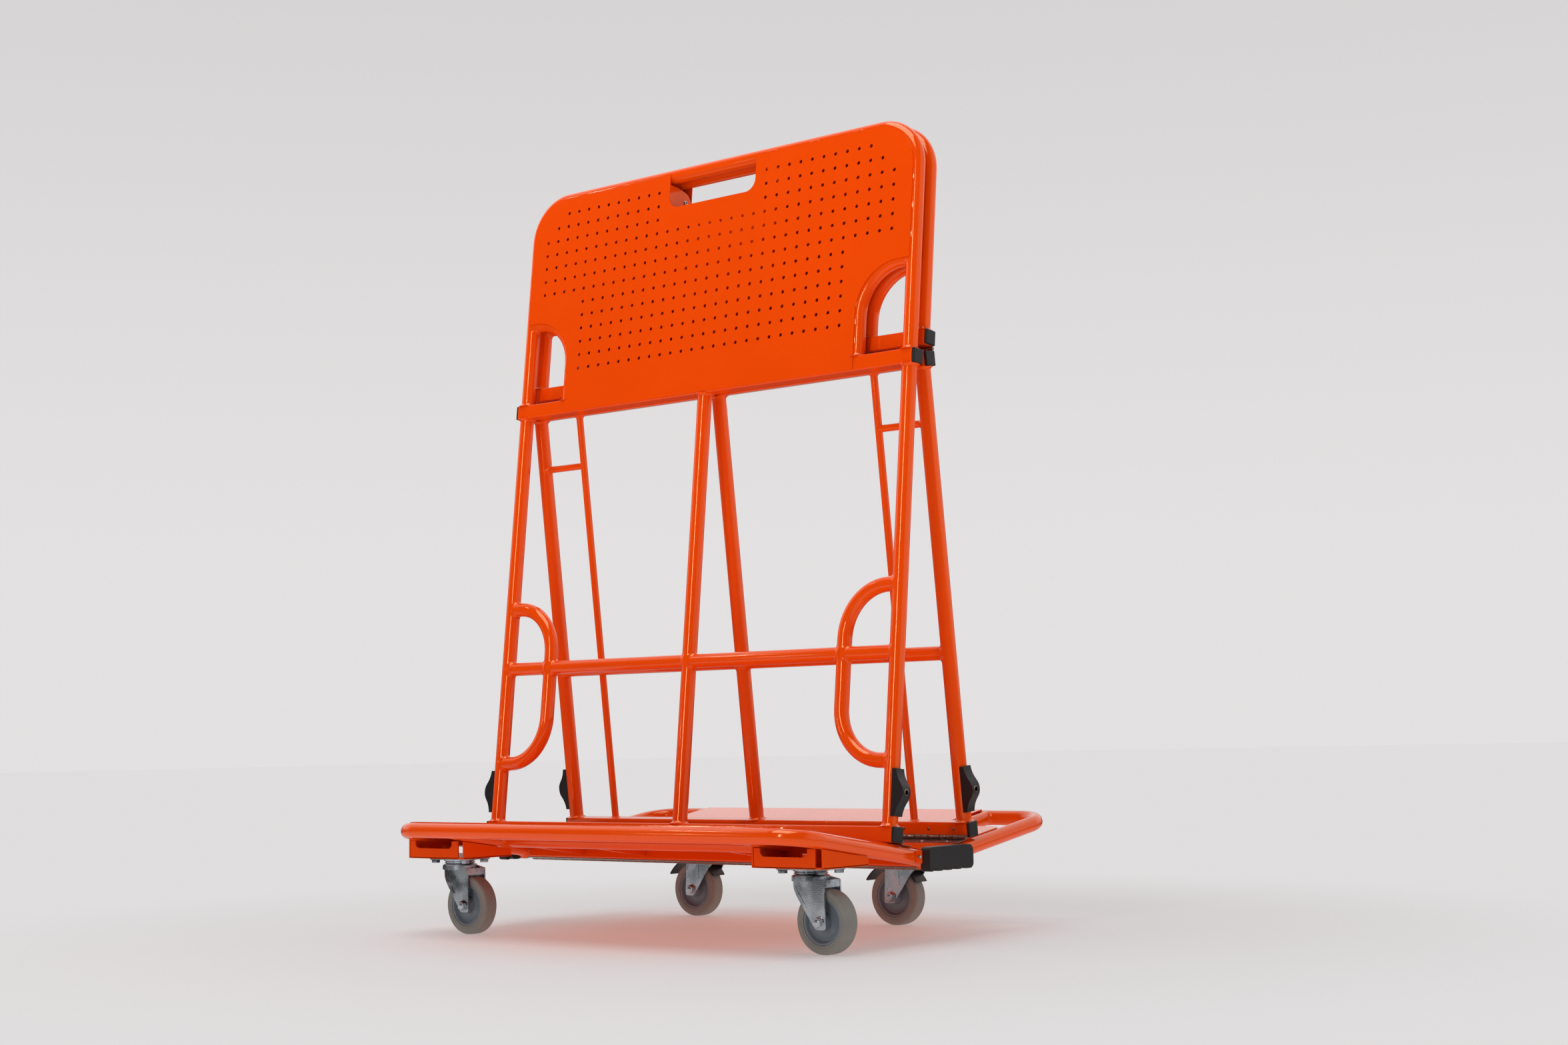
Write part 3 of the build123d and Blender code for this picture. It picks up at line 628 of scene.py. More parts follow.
def tube(bm, place, corners, bend=0.0, radius=TUBE, sides=40):
    """A round tube through corner points, with a bend of a quarter turn at each."""
    points = [Vector(corner) for corner in corners]
    run = (points[1] - points[0]).normalized()
    start = at(*points[0]) @ facing(run)
    drawn = bmesh.ops.create_circle(bm, cap_ends=True, segments=sides, radius=radius, matrix=start)["verts"]
    edges = edges_of(drawn)
    here = points[0]
    for corner, after in zip(points[1:], [*points[2:], None]):
        stop = corner - run * bend if after else corner
        edges, verts = extended(bm, edges)
        bmesh.ops.translate(bm, verts=verts, vec=stop - here)
        drawn = drawn + verts
        here = stop
        if after:
            turn = (after - corner).normalized()
            step = Matrix.Rotation(math.pi / 2 / BEND_STEPS, 3, run.cross(turn))
            for _ in range(BEND_STEPS):
                edges, verts = extended(bm, edges)
                bmesh.ops.rotate(bm, verts=verts, cent=here + turn * bend, matrix=step)
                drawn = drawn + verts
            here = corner + turn * bend
            run = turn
    bmesh.ops.contextual_create(bm, geom=edges)
    bmesh.ops.transform(bm, matrix=place, verts=drawn)


def turned(bm, place, profile, steps=64):
    """Turn a section, given as radius and height, about Z. A section off the axis is closed to a ring."""
    before = set(bm.verts)
    verts = [bm.verts.new((radius, 0.0, height)) for radius, height in profile]
    edges = [bm.edges.new(pair) for pair in zip(verts, verts[1:])]
    if profile[0][0] > 0.0:
        edges.append(bm.edges.new((verts[-1], verts[0])))
    bmesh.ops.spin(bm, geom=verts + edges, cent=(0, 0, 0), axis=(0, 0, 1), angle=2 * math.pi, steps=steps,
                   use_merge=True)
    bmesh.ops.remove_doubles(bm, verts=added(bm, before), dist=0.001)
    bmesh.ops.transform(bm, matrix=place, verts=added(bm, before))


def sheet(bm, place, corners, thickness, holes=(), hole=0.0):
    """A sheet on the plane of X and Y. Each corner has a place and a radius, and each hole a place."""
    before = set(bm.verts)
    verts = [bm.verts.new((x, y, 0.0)) for x, y, _ in corners]
    bm.faces.new(verts)
    for vert, (_, _, radius) in zip(verts, corners):
        if radius:
            rounded(bm, [vert], radius, 12, "VERTICES")
    faces = list({face for vert in added(bm, before) for face in vert.link_faces})
    if holes:
        bmesh.ops.delete(bm, geom=faces, context="FACES_ONLY")
        for x, y in holes:
            bmesh.ops.create_circle(bm, segments=16, radius=hole, matrix=at(x, y, 0))
        edges = edges_of(added(bm, before))
        filled = bmesh.ops.triangle_fill(bm, use_beauty=True, use_dissolve=False, edges=edges)["geom"]
        faces = only(bmesh.types.BMFace, filled)
    raised(bm, faces, thickness)
    bmesh.ops.transform(bm, matrix=place, verts=added(bm, before))


def weld(bm, place, centre, axis, along=None, radius=TUBE, scale=1.0):
    """The bead round the end of a tube, on a flat face, or saddled on a tube that runs along another axis."""
    before = set(bm.verts)
    size = scale * millimetres("weld_bead")
    face = [(radius + out * size, up * size) for out, up in BEAD_FACE]
    foot = [(radius - BEAD_ROOT, -BEAD_SUNK), (face[0][0], -BEAD_SUNK)]
    root = [(radius - BEAD_LIP, BEAD_TOP * size), (radius - BEAD_ROOT, BEAD_TOP * size)]
    turned(bm, HERE, foot + face + root, 48)
    verts = added(bm, before)
    for vert in verts:
        around = math.atan2(vert.co.y, vert.co.x)
        ripple = 1.0 + sum(depth * math.sin(count * around + start) for depth, count, start in RIPPLES)
        middle = Vector((math.cos(around), math.sin(around), 0.0)) * radius
        vert.co = middle + (vert.co - middle) * ripple
        if along:
            vert.co.x = max(-SADDLE, min(vert.co.x, SADDLE))
            vert.co.z += math.sqrt(TUBE * TUBE - vert.co.x * vert.co.x)
    turn = facing(axis, along) if along else facing(axis)
    bmesh.ops.transform(bm, matrix=place @ at(*centre) @ turn, verts=verts)


def dab(bm, place, centre, size):
    """A rounded blob, such as a stitch of weld, of a half-size in each direction."""
    matrix = place @ at(*centre) @ Matrix.Diagonal((*size, 1.0))
    bmesh.ops.create_uvsphere(bm, u_segments=10, v_segments=6, radius=1.0, matrix=matrix)


def hexagon(bm, place, radius, height, ease=0.7):
    """A hexagon head that stands on the plane of X and Y, with its outer corners eased."""
    before = set(bm.verts)
    verts = bmesh.ops.create_circle(bm, cap_ends=True, segments=6, radius=radius)["verts"]
    faces = list({face for vert in verts for face in vert.link_faces})
    top = set(raised(bm, faces, height))
    rounded(bm, [edge for edge in bm.edges if top.issuperset(edge.verts)], ease, 2)
    bmesh.ops.transform(bm, matrix=place, verts=added(bm, before))


def washer(bm, place, inner, outer, thickness):
    """A flat ring that stands on the plane of X and Y, with its outer edge eased."""
    edge = min(thickness, outer - inner) * 0.3
    eased = [(outer, thickness - edge), (outer - edge, thickness)]
    turned(bm, place, [(inner, 0.0), (outer, 0.0), *eased, (inner, thickness)], 28)


@contextlib.contextmanager
def shaped(name, slot, body, *nodes):
    """A shape to draw, closed afterwards as a piece that rides on a body and stands for CAD nodes."""
    bm = bmesh.new()
    yield bm
    bmesh.ops.transform(bm, matrix=MM, verts=bm.verts)
    bmesh.ops.remove_doubles(bm, verts=bm.verts, dist=0.000002)
    bmesh.ops.recalc_face_normals(bm, faces=bm.faces)
    mesh = bpy.data.meshes.new(name)
    bm.to_mesh(mesh)
    bm.free()
    mesh.shade_smooth()
    mesh.set_sharp_from_angle(angle=SMOOTH_ANGLE)
    mesh.materials.append(palette()[slot])
    piece = bpy.data.objects.new(name, mesh)
    bpy.context.scene.collection.objects.link(piece)
    piece.modifiers.new("flat_faces", "WEIGHTED_NORMAL").keep_sharp = True
    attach(piece, body)
    if nodes:
        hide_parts(*nodes)


def eased_piece(node, slot, body, ease):
    """A copy of one CAD node with its sharp edges rounded, in place of the node."""
    source = frame["nodes"][node]
    with shaped(f"{node}_shell", slot, body, node) as bm:
        bm.from_mesh(source.data)
        bmesh.ops.transform(bm, matrix=MM.inverted() @ source.matrix_world, verts=bm.verts)
        bmesh.ops.remove_doubles(bm, verts=bm.verts, dist=0.004)
        bmesh.ops.dissolve_limit(bm, angle_limit=math.radians(0.5), verts=bm.verts, edges=bm.edges)
        sharp = [edge for edge in bm.edges if edge.is_manifold and edge.calc_face_angle() > SHARP_ANGLE]
        rounded(bm, sharp, ease, 2, clamp=True)


# Pieces


def hoop(bm, y, foot_h):
    """A hoop with the two arches that brace its legs."""
    tube(bm, NEAR_FRAME, mirrored([(-LEG_X, y, foot_h), (-LEG_X, y, TOP_TUBE_H)]), HOOP_BEND)
    for side in SIDES:
        arch = [(side * ARCH_X, y, foot_h), (side * ARCH_X, y, ARCH_H), (side * LEG_X, y, ARCH_H)]
        tube(bm, NEAR_FRAME, arch, ARCH_BEND, NOTCHED)


def uprights(bm, place):
    """Two legs and the middle post of one side, with the low rail."""
    for x in (-LEG_X, 0, LEG_X):
        tube(bm, place, [(x, 0, BAR_HALF), (x, 0, LEG_TOP_H)])
    tube(bm, place, [(-LEG_X, 0, RAIL_H), (LEG_X, 0, RAIL_H)], radius=RAIL)


def across(middle):
    """The two sides of a square bar about its middle."""
    return middle - BAR_HALF, middle + BAR_HALF


def square_bar(bm, place, y, h):
    """A square tube along X with rolled edges."""
    block(bm, place, BAR_X, across(y), across(h), BAR_CORNER, 0)


def bar_caps(bm, place, y, h):
    """The two plugs in the ends of a square bar, with a softened rim."""
    for side in SIDES:
        ends = sorted((side * BAR_END, side * (BAR_END + CAP_DEPTH)))
        block(bm, place, ends, across(y), across(h), millimetres("plug_edge"))


def peg_places():
    """The peg holes row by row, clear of the arches, the hand slot and the bends of the hoop."""
    places = []
    for row in range(PEG_ROWS):
        widest = ARCH_COLUMNS if row < ARCH_ROW else PEG_COLUMNS - max(row - SLOT_ROW, 0)
        nearest = SLOT_COLUMNS if row >= SLOT_ROW else 0
        for column in range(-widest, widest + 1):
            if abs(column) >= nearest:
                places.append((column * PEG_PITCH, PEG_LOW_H + row * PEG_PITCH))
    return places


def panel_corners(low_h):
    """The outline of a panel: each corner's place and radius."""
    return mirrored([
        (ARCH_X, low_h, 0), (ARCH_X, ARCH_H, ARCH_BEND), (LEG_X, ARCH_H, 0), (LEG_X, TOP_TUBE_H, HOOP_BEND),
        (SLOT_HALF, TOP_TUBE_H, 0), (SLOT_HALF, SLOT_LOW_H, SLOT_CORNER)])


class CART_OT_peg_panels(bpy.types.Operator):
    """Cut the peg panel with its grid of holes, and the plain sheet behind it"""

    bl_idname = "cart.peg_panels"
    bl_label = "Peg panels"

    def execute(self, context):
        near = ("near_panel", TUBE + SHEET, PANEL_LOW_H, peg_places())
        far = ("far_panel", -HOOP_SPACING - TUBE, FAR_PANEL_LOW_H, ())
        for node, y, low_h, holes in (near, far):
            place = NEAR_FRAME @ at(0, y, 0) @ UPRIGHT
            with shaped(f"{node}_sheet", PAINT, "near_frame", node) as bm:
                sheet(bm, place, panel_corners(low_h), SHEET, holes, millimetres("peg_hole") / 2)
        return {"FINISHED"}


class CART_OT_frame_tubes(bpy.types.Operator):
    """Bend the hoops, arches and side loops, and set the legs, rails and ladder tubes"""

    bl_idname = "cart.frame_tubes"
    bl_label = "Frame tubes"

    def execute(self, context):
        with shaped("near_hoop", PAINT, "near_frame", "near_upper_tubes") as bm:
            hoop(bm, 0, HOOP_FOOT_H)
        with shaped("far_hoop", PAINT, "near_frame", "far_upper_tubes") as bm:
            hoop(bm, -HOOP_SPACING, FAR_HOOP_FOOT_H)
        with shaped("near_legs", PAINT, "near_frame", "near_lower_tubes") as bm:
            uprights(bm, NEAR_FRAME)
        with shaped("side_loops", PAINT, "near_frame", "near_loops") as bm:
            for side in SIDES:
                low = [(side * x, 0, LOOP_LOW_H) for x in (LEG_X, LOOP_X)]
                high = [(side * x, 0, LOOP_HIGH_H) for x in (LOOP_X, LEG_X)]
                tube(bm, NEAR_FRAME, low + high, LOOP_BEND, NOTCHED)
        with shaped("far_legs_tubes", PAINT, "far_legs", "far_lower_tubes") as bm:
            uprights(bm, FAR_FRAME)
        with shaped("ladder_tubes", PAINT, "far_legs", "far_ladder_tubes") as bm:
            for side in SIDES:
                x = side * LADDER_X
                tube(bm, FAR_FRAME, [(x, 0, BAR_HALF), (x, 0, LEG_TOP_H)], 0, LADDER, LADDER_SIDES)
                tube(bm, FAR_FRAME, [(x, 0, RUNG_H), (side * LEG_X, 0, RUNG_H)], 0, RUNG, LADDER_SIDES)
        return {"FINISHED"}


class CART_OT_cross_bars(bpy.types.Operator):
    """Set the square bars and plug their ends"""

    bl_idname = "cart.cross_bars"
    bl_label = "Cross bars"

    def execute(self, context):
        rows = (
            ("near", NEAR_FRAME, "near_frame", [(0, 0), (0, MID_BAR_H), (-HOOP_SPACING, UPPER_BAR_H)],
             ["near_cross_bars", "far_upper_bar"]),
            ("far", FAR_FRAME, "far_legs", [(0, 0), (0, MID_BAR_H)], ["far_cross_bars"]),
        )
        for row, place, body, bars, nodes in rows:
            with shaped(f"{row}_bars", PAINT, body, *nodes) as bm:
                for y, h in bars:
                    square_bar(bm, place, y, h)
            with shaped(f"{row}_plugs", PLASTIC, body, f"{row}_bar_caps") as bm:
                for y, h in bars:
                    bar_caps(bm, place, y, h)
        return {"FINISHED"}


def knuckles(bm, place, pin, first, radius, tab):
    """Rolled knuckles at every second place along a hinge, each with the tab that it was rolled from."""
    near = KNUCKLE_GAP
    far = KNUCKLE_PITCH - KNUCKLE_GAP
    eased = radius - KNUCKLE_EASE
    barrel = [(radius, near + KNUCKLE_EASE), (radius, far - KNUCKLE_EASE)]
    section = [(PIN_BORE, near), (eased, near), *barrel, (eased, far), (PIN_BORE, far)]
    for index in range(first, KNUCKLES, 2):
        start = -BAR_END + index * KNUCKLE_PITCH
        turned(bm, place @ at(start, *pin) @ facing((1, 0, 0)), section, 12)
        block(bm, place, (start + near, start + far), *tab)


def hinge_pin(bm, y, z):
    """A hinge pin with a staked head at both ends."""
    for side in SIDES:
        dab(bm, HERE, (side * PIN_HEAD_X, y, z), PIN_HEAD)
    tube(bm, HERE, [(-PIN_END, y, z), (PIN_END, y, z)], radius=PIN, sides=12)


class CART_OT_leg_hinges(bpy.types.Operator):
    """Roll the piano hinges between the two legs and the deck, with their strips and rivets"""

    bl_idname = "cart.leg_hinges"
    bl_label = "Leg hinges"

    def execute(self, context):
        rows = (("near", NEAR, "near_frame", "near_deck"), ("far", FAR, "far_legs", "far_deck"))
        for row, side, leg, deck in rows:
            place = side @ LEAN
            pin = (LEAN.inverted() @ LEG_PIN).yz
            skin = (-BAR_HALF - LEAF, -BAR_HALF)
            with shaped(f"{row}_leg_knuckles", STEEL, leg, f"{row}_hinge_frame_leaf") as bm:
                knuckles(bm, place, pin, 1, LEG_KNUCKLE, (skin, (pin[1], LEG_TAB_H)))
            with shaped(f"{row}_leg_strip", PAINT, leg) as bm:
                block(bm, place, BAR_X, skin, LEG_STRIP_H, LEAF_EASE)
            with shaped(f"{row}_leg_rivets", STEEL, leg) as bm:
                self.rivets(bm, place, (skin[0], LEG_RIVET_H), facing((0, -1, 0)))
            place = side @ SLOPE
            pin = (SLOPE.inverted() @ LEG_PIN).yz
            skin = (DECK_TOP, DECK_TOP + LEAF)
            with shaped(f"{row}_deck_knuckles", STEEL, deck, f"{row}_hinge_deck_leaf") as bm:
                knuckles(bm, place, pin, 0, LEG_KNUCKLE, ((DECK_TAB_Y, pin[0] + DECK_TAB_LAP), skin))
            with shaped(f"{row}_deck_strip", STEEL, deck) as bm:
                block(bm, place, BAR_X, DECK_STRIP_Y, skin, LEAF_EASE)
            with shaped(f"{row}_deck_rivets", ZINC, deck) as bm:
                self.rivets(bm, place, (DECK_RIVET_Y, skin[1]), HERE)
            with shaped(f"{row}_leg_pin", STEEL, deck, f"{row}_hinge_pin") as bm:
                pin = side @ LEG_PIN
                hinge_pin(bm, pin.y, pin.z)
        return {"FINISHED"}

    def rivets(self, bm, place, row, turn):
        """A row of low domed rivet heads, each with a dimple where it was set."""
        radius = millimetres("rivet_head") / 2
        section = [(share * radius, height) for share, height in RIVET]
        for index in range(RIVETS):
            x = (index - (RIVETS - 1) / 2) * RIVET_PITCH
            turned(bm, place @ at(x, *row) @ turn, section, 16)


class CART_OT_fold_hinge(bpy.types.Operator):
    """Roll the piano hinge under the middle of the deck"""

    bl_idname = "cart.fold_hinge"
    bl_label = "Fold hinge"

    def execute(self, context):
        skin = (-LEAF, 0.0)
        for row, side, first in (("near", NEAR, 0), ("far", FAR, 1)):
            place = side @ SLOPE
            with shaped(f"fold_{row}_leaf", STEEL, f"{row}_deck", f"fold_hinge_{row}_leaf") as bm:
                knuckles(bm, place, (0.0, 0.0), first, FOLD_KNUCKLE, ((0.0, FOLD_GAP), skin))
                block(bm, place, BAR_X, FOLD_LEAF_Y, skin, LEAF_EASE)
        with shaped("fold_pin", STEEL, "near_deck", "fold_hinge_pin") as bm:
            hinge_pin(bm, 0.0, FOLD_Z)
        return {"FINISHED"}


class CART_OT_deck_leaves(bpy.types.Operator):
    """Bend the two deck loops, brace them and lay their sheets"""

    bl_idname = "cart.deck_leaves"
    bl_label = "Deck leaves"

    def execute(self, context):
        for row, place, half in (("near", NEAR @ SLOPE, WHOLE_LEAF), ("far", FAR @ SLOPE, NOTCHED_LEAF)):
            body = f"{row}_deck"
            with shaped(f"{row}_leaf_loop", PAINT, body, f"{row}_deck_loop") as bm:
                left = [(-DECK_HALF, INNER_REACH, TUBE), (-DECK_HALF, DECK_REACH, TUBE)]
                tube(bm, place, mirrored(left), DECK_BEND)
            with shaped(f"{row}_leaf_bracing", PAINT, body, f"{row}_deck_bracing") as bm:
                self.bracing(bm, place)
                if row == "near":
                    for side in SIDES:
                        ends = sorted(side * x for x in TAB_X)
                        block(bm, HERE, ends, (GRIP_NEAR - TAB, GRIP_NEAR), TAB_Z, TAB_EASE)
            with shaped(f"{row}_leaf_sheet", PAINT, body, f"{row}_deck_plate") as bm:
                sheet(bm, place @ at(0, 0, BAR), mirrored(half), PLATE)
        return {"FINISHED"}

    def bracing(self, bm, place):
        """The inner bar, the cross tube, the tubes beside the corners and the flat ribs."""
        square_bar(bm, place, FOLD_GAP + BAR_HALF, BAR_HALF)
        cross = [(x, CROSS_TUBE_REACH, NOTCHED_Z) for x in (-DECK_HALF, DECK_HALF)]
        tube(bm, place, cross, radius=NOTCHED)
        for side in SIDES:
            beside = [(side * NOTCH_TUBE_X, y, NOTCHED_Z) for y in (CROSS_TUBE_REACH, DECK_REACH)]
            tube(bm, place, beside, radius=NOTCH_TUBE)
            for rib in RIB_PLACES:
                ends = (side * rib - RIB / 2, side * rib + RIB / 2)
                block(bm, place, ends, RIB_Y, RIB_Z, RIB_EASE)


def weld_uprights(bm, place):
    """Beads at both ends of the legs and the post, and where the rail meets them."""
    for x in (-LEG_X, 0, LEG_X):
        weld(bm, place, (x, 0, BAR_HALF), (0, 0, 1))
        weld(bm, place, (x, 0, LEG_TOP_H), (0, 0, -1))
    for side in SIDES:
        weld(bm, place, (side * LEG_X, 0, RAIL_H), (-side, 0, 0), (0, 0, 1), RAIL)
        weld(bm, place, (0, 0, RAIL_H), (side, 0, 0), (0, 0, 1), RAIL)


class CART_OT_welds(bpy.types.Operator):
    """Run the painted weld beads round the tube ends and along the edges of the panels"""

    bl_idname = "cart.welds"
    bl_label = "Weld beads"

    def execute(self, context):
        up = (0, 0, 1)
        with shaped("near_frame_welds", PAINT, "near_frame") as bm:
            weld_uprights(bm, NEAR_FRAME)
            for side in SIDES:
                inwards = (-side, 0, 0)
                for y, h in ((0, HOOP_FOOT_H), (-HOOP_SPACING, FAR_HOOP_FOOT_H)):
                    weld(bm, NEAR_FRAME, (side * LEG_X, y, h), up)
                    weld(bm, NEAR_FRAME, (side * ARCH_X, y, h), up, radius=NOTCHED)
                    weld(bm, NEAR_FRAME, (side * LEG_X, y, ARCH_H), inwards, up, NOTCHED)
                for h in (LOOP_LOW_H, LOOP_HIGH_H):
                    weld(bm, NEAR_FRAME, (side * LEG_X, 0, h), inwards, up, NOTCHED)
                for way in SIDES:
                    weld(bm, NEAR_FRAME, (side * LOOP_X, 0, RAIL_H), (way, 0, 0), up, RAIL)
                self.stitches(bm, side)
        with shaped("far_leg_welds", PAINT, "far_legs") as bm:
            weld_uprights(bm, FAR_FRAME)
            for side in SIDES:
                x = side * LADDER_X
                weld(bm, FAR_FRAME, (x, 0, BAR_HALF), up, None, LADDER, LADDER_BEAD)
                weld(bm, FAR_FRAME, (x, 0, LEG_TOP_H), (0, 0, -1), None, LADDER, LADDER_BEAD)
                weld(bm, FAR_FRAME, (side * LEG_X, 0, RUNG_H), (-side, 0, 0), up, LADDER, LADDER_BEAD)
        for row, place in (("near", NEAR @ SLOPE), ("far", FAR @ SLOPE)):
            with shaped(f"{row}_leaf_welds", PAINT, f"{row}_deck") as bm:
                for side in SIDES:
                    x = side * DECK_HALF
                    weld(bm, place, (x, CROSS_TUBE_REACH, TUBE), (-side, 0, 0), (0, 1, 0), NOTCHED)
                    weld(bm, place, (x, INNER_REACH, TUBE), (0, 1, 0))
                    x = side * NOTCH_TUBE_X
                    weld(bm, place, (x, DECK_REACH, TUBE), (0, -1, 0), (1, 0, 0), NOTCHED)
                    weld(bm, place, (x, CROSS_TUBE_REACH, NOTCHED_Z), (0, 1, 0), (1, 0, 0), NOTCHED)
        return {"FINISHED"}

    def stitches(self, bm, side):
        """Short beads along the top edge, the hoop and the arches of the near sheet."""
        rows = ((LEG_X, ARCH_H, EDGE_STITCH), (ARCH_X, MID_BAR_H, ARCH_STITCH))
        for index in range(STITCHES):
            first, pitch, size = TOP_STITCH
            place = (side * (first + pitch * index), STITCH_Y, TOP_TUBE_H + STITCH_OUT)
            dab(bm, NEAR_FRAME, place, size)
            for x, h, (first, pitch, size) in rows:
                place = (side * (x + STITCH_OUT), STITCH_Y, h + first + pitch * index)
                dab(bm, NEAR_FRAME, place, size)


class CART_OT_caster_mounts(bpy.types.Operator):
    """Fold the caster brackets, and set the plates and bolts under them"""

    bl_idname = "cart.caster_mounts"
    bl_label = "Caster mounts"

    def execute(self, context):
        for row, half in (("near", NEAR), ("far", FAR)):
            body = f"{row}_deck"
            places = [CASTERS[f"{row}_{hand}"] for hand in ("left", "right")]
            with shaped(f"{row}_bracket_boxes", PAINT, body, f"{row}_caster_brackets") as bm:
                for place in places:
                    self.bracket(bm, half @ at(place.to_translation().x, 0, 0))
            eased_piece(f"{row}_caster_plates", ZINC, body, CASTER_PLATE_EASE)
            with shaped(f"{row}_bolt_heads", ZINC, body, f"{row}_caster_bolts") as bm:
                for place in places:
                    for x in (-BOLT_X, BOLT_X):
                        for y in (-BOLT_Y, BOLT_Y):
                            under = place @ at(x, y, CASTER_PLATE_Z) @ facing((0, 0, -1))
                            washer(bm, under, *BOLT_WASHER)
                            hexagon(bm, under @ at(0, 0, BOLT_WASHER[2]), *BOLT_HEAD)
        return {"FINISHED"}

    def bracket(self, bm, place):
        """A folded box under the deck: a level bottom, two sides, a slotted back and a scooped flange."""
        block(bm, place, BRACKET_X, BRACKET_Y, (BRACKET_LOW, BRACKET_LOW + BRACKET_SHEET), BRACKET_EASE)
        low, high = BRACKET_TOPS
        for x, rise in ((BRACKET_X[0], BRACKET_RISE), (BRACKET_X[1] - BRACKET_SHEET, 0)):
            wall = [(BRACKET_Y[0], BRACKET_LOW, 0), (BRACKET_Y[1], BRACKET_LOW, 0),
                    (BRACKET_Y[1], high + rise, 0), (BRACKET_Y[0], low + rise, 0)]
            sheet(bm, place @ at(x, 0, 0) @ SIDEWAYS, wall, BRACKET_SHEET)
        left, right = FLANGE_X
        flange = [(left, BRACKET_LOW, 0), (right, BRACKET_LOW, 0), (right, high, 0), (SCOOP_X[1], high, 0),
                  (SCOOP_X[1], SCOOP_LOW, SCOOP_CORNER), (SCOOP_X[0], SCOOP_LOW, SCOOP_CORNER),
                  (SCOOP_X[0], high, 0), (left, high, 0)]
        sheet(bm, place @ at(0, BRACKET_Y[1], 0) @ UPRIGHT, flange, BRACKET_SHEET)
        left, right = BRACKET_SLIT
        for ends in ((BRACKET_X[0] + BRACKET_SHEET, left), (right, BRACKET_X[1] - BRACKET_SHEET)):
            block(bm, place, ends, BRACKET_BACK, (BRACKET_LOW + BRACKET_BACK_LAP, BRACKET_BACK_TOP))
        block(bm, place, BRACKET_SLIT, BRACKET_BACK, (SCOOP_LOW + BRACKET_BACK_LAP, BRACKET_BACK_TOP))


class CART_OT_casters(bpy.types.Operator):
    """Build the forks, axles and wheels of the four casters"""

    bl_idname = "cart.casters"
    bl_label = "Casters"

    def execute(self, context):
        for caster, place in CASTERS.items():
            swivel = f"{caster}_swivel"
            wheel = f"{caster}_wheel"
            eased_piece(f"{caster}_fork", ZINC, swivel, FORK_EASE)
            hub = place @ at(*WHEEL)
            with shaped(f"{caster}_axle_bolt", ZINC, swivel, f"{caster}_axle") as bm:
                for side in SIDES:
                    outer = hub @ facing((0, side, 0)) @ at(0, 0, FORK_OUTER)
                    washer(bm, outer, *AXLE_WASHER)
                    hexagon(bm, outer @ at(0, 0, AXLE_WASHER[2]), *AXLE_NUT)
                    turned(bm, outer @ at(0, 0, AXLE_END_H), AXLE_END, 20)
                tube(bm, hub, [(0, -FORK_OUTER, 0), (0, FORK_OUTER, 0)], radius=AXLE, sides=24)
            with shaped(f"{caster}_tread", RUBBER, wheel, f"{caster}_tyre") as bm:
                turned(bm, hub @ facing((0, 1, 0)), self.both_halves(TREAD), 96)
            with shaped(f"{caster}_centre", HUB, wheel, f"{caster}_wheel_core") as bm:
                turned(bm, hub @ facing((0, 1, 0)), self.both_halves(CORE), 80)
            if caster.startswith("far"):
                eased_piece(f"{caster}_brake", PLASTIC, f"{caster}_pedal", BRAKE_EASE)
        return {"FINISHED"}

    def both_halves(self, half):
        """A wheel's section from the half that is drawn."""
        return half + [(radius, -offset) for radius, offset in reversed(half)]


class CART_OT_fittings(bpy.types.Operator):
    """Mould the bumpers and grips, and set the lugs and small fasteners"""

    bl_idname = "cart.fittings"
    bl_label = "Bumpers, grips and lugs"

    def execute(self, context):
        for row, place, body in (("near", NEAR_FRAME, "near_frame"), ("far", FAR_FRAME, "far_legs")):
            eased_piece(f"{row}_bumpers", PLASTIC, body, millimetres("bumper_edge"))
            with shaped(f"{row}_bumper_eyelets", STEEL, body) as bm:
                for side in SIDES:
                    rim = place @ at(side * BUMPER_FACE, 0, BUMPER_H) @ facing((side, 0, 0))
                    turned(bm, rim, EYELET, 28)
        with shaped("finger_grips", PLASTIC, "near_deck", "end_grips") as bm:
            for side in SIDES:
                self.grip(bm, side)
        with shaped("grip_screws", ZINC, "near_deck") as bm:
            for side in SIDES:
                head = at(side * TAB_SCREW_X, GRIP_NEAR - TAB, sum(TAB_Z) / 2) @ facing((0, -1, 0))
                turned(bm, head, GRIP_SCREW, 24)
        faces = [NEAR_FRAME @ flipped(side) @ at(SLOT_HALF, 0, SLOT_LOW_H) @ SIDEWAYS for side in SIDES]
        with shaped("hoop_straps", PAINT, "near_frame", "hoop_lugs") as bm:
            for face in faces:
                sheet(bm, face, STRAP, LUG)
        with shaped("lug_screws", ZINC, "near_frame") as bm:
            for face in faces:
                turned(bm, face @ at(*LUG_SCREW, 0) @ facing((0, 0, -1)), LUG_HEAD, 24)
        return {"FINISHED"}

    def grip(self, bm, side):
        """A grip with five finger lobes under it, parted by grooves, and its outer edge rounded."""
        grooves = [(y + offset, z, radius) for y in GROOVES for offset, z, radius in GROOVE]
        before = set(bm.verts)
        sheet(bm, flipped(side) @ at(GRIP_X, 0, 0) @ SIDEWAYS, GRIP + grooves, GRIP_DEPTH)
        outer = {vert for vert in added(bm, before) if abs(vert.co.x) > GRIP_X + GRIP_DEPTH / 2}
        rim = [edge for edge in bm.edges if outer.issuperset(edge.verts)]
        rounded(bm, rim, millimetres("grip_edge"), 3, clamp=True)


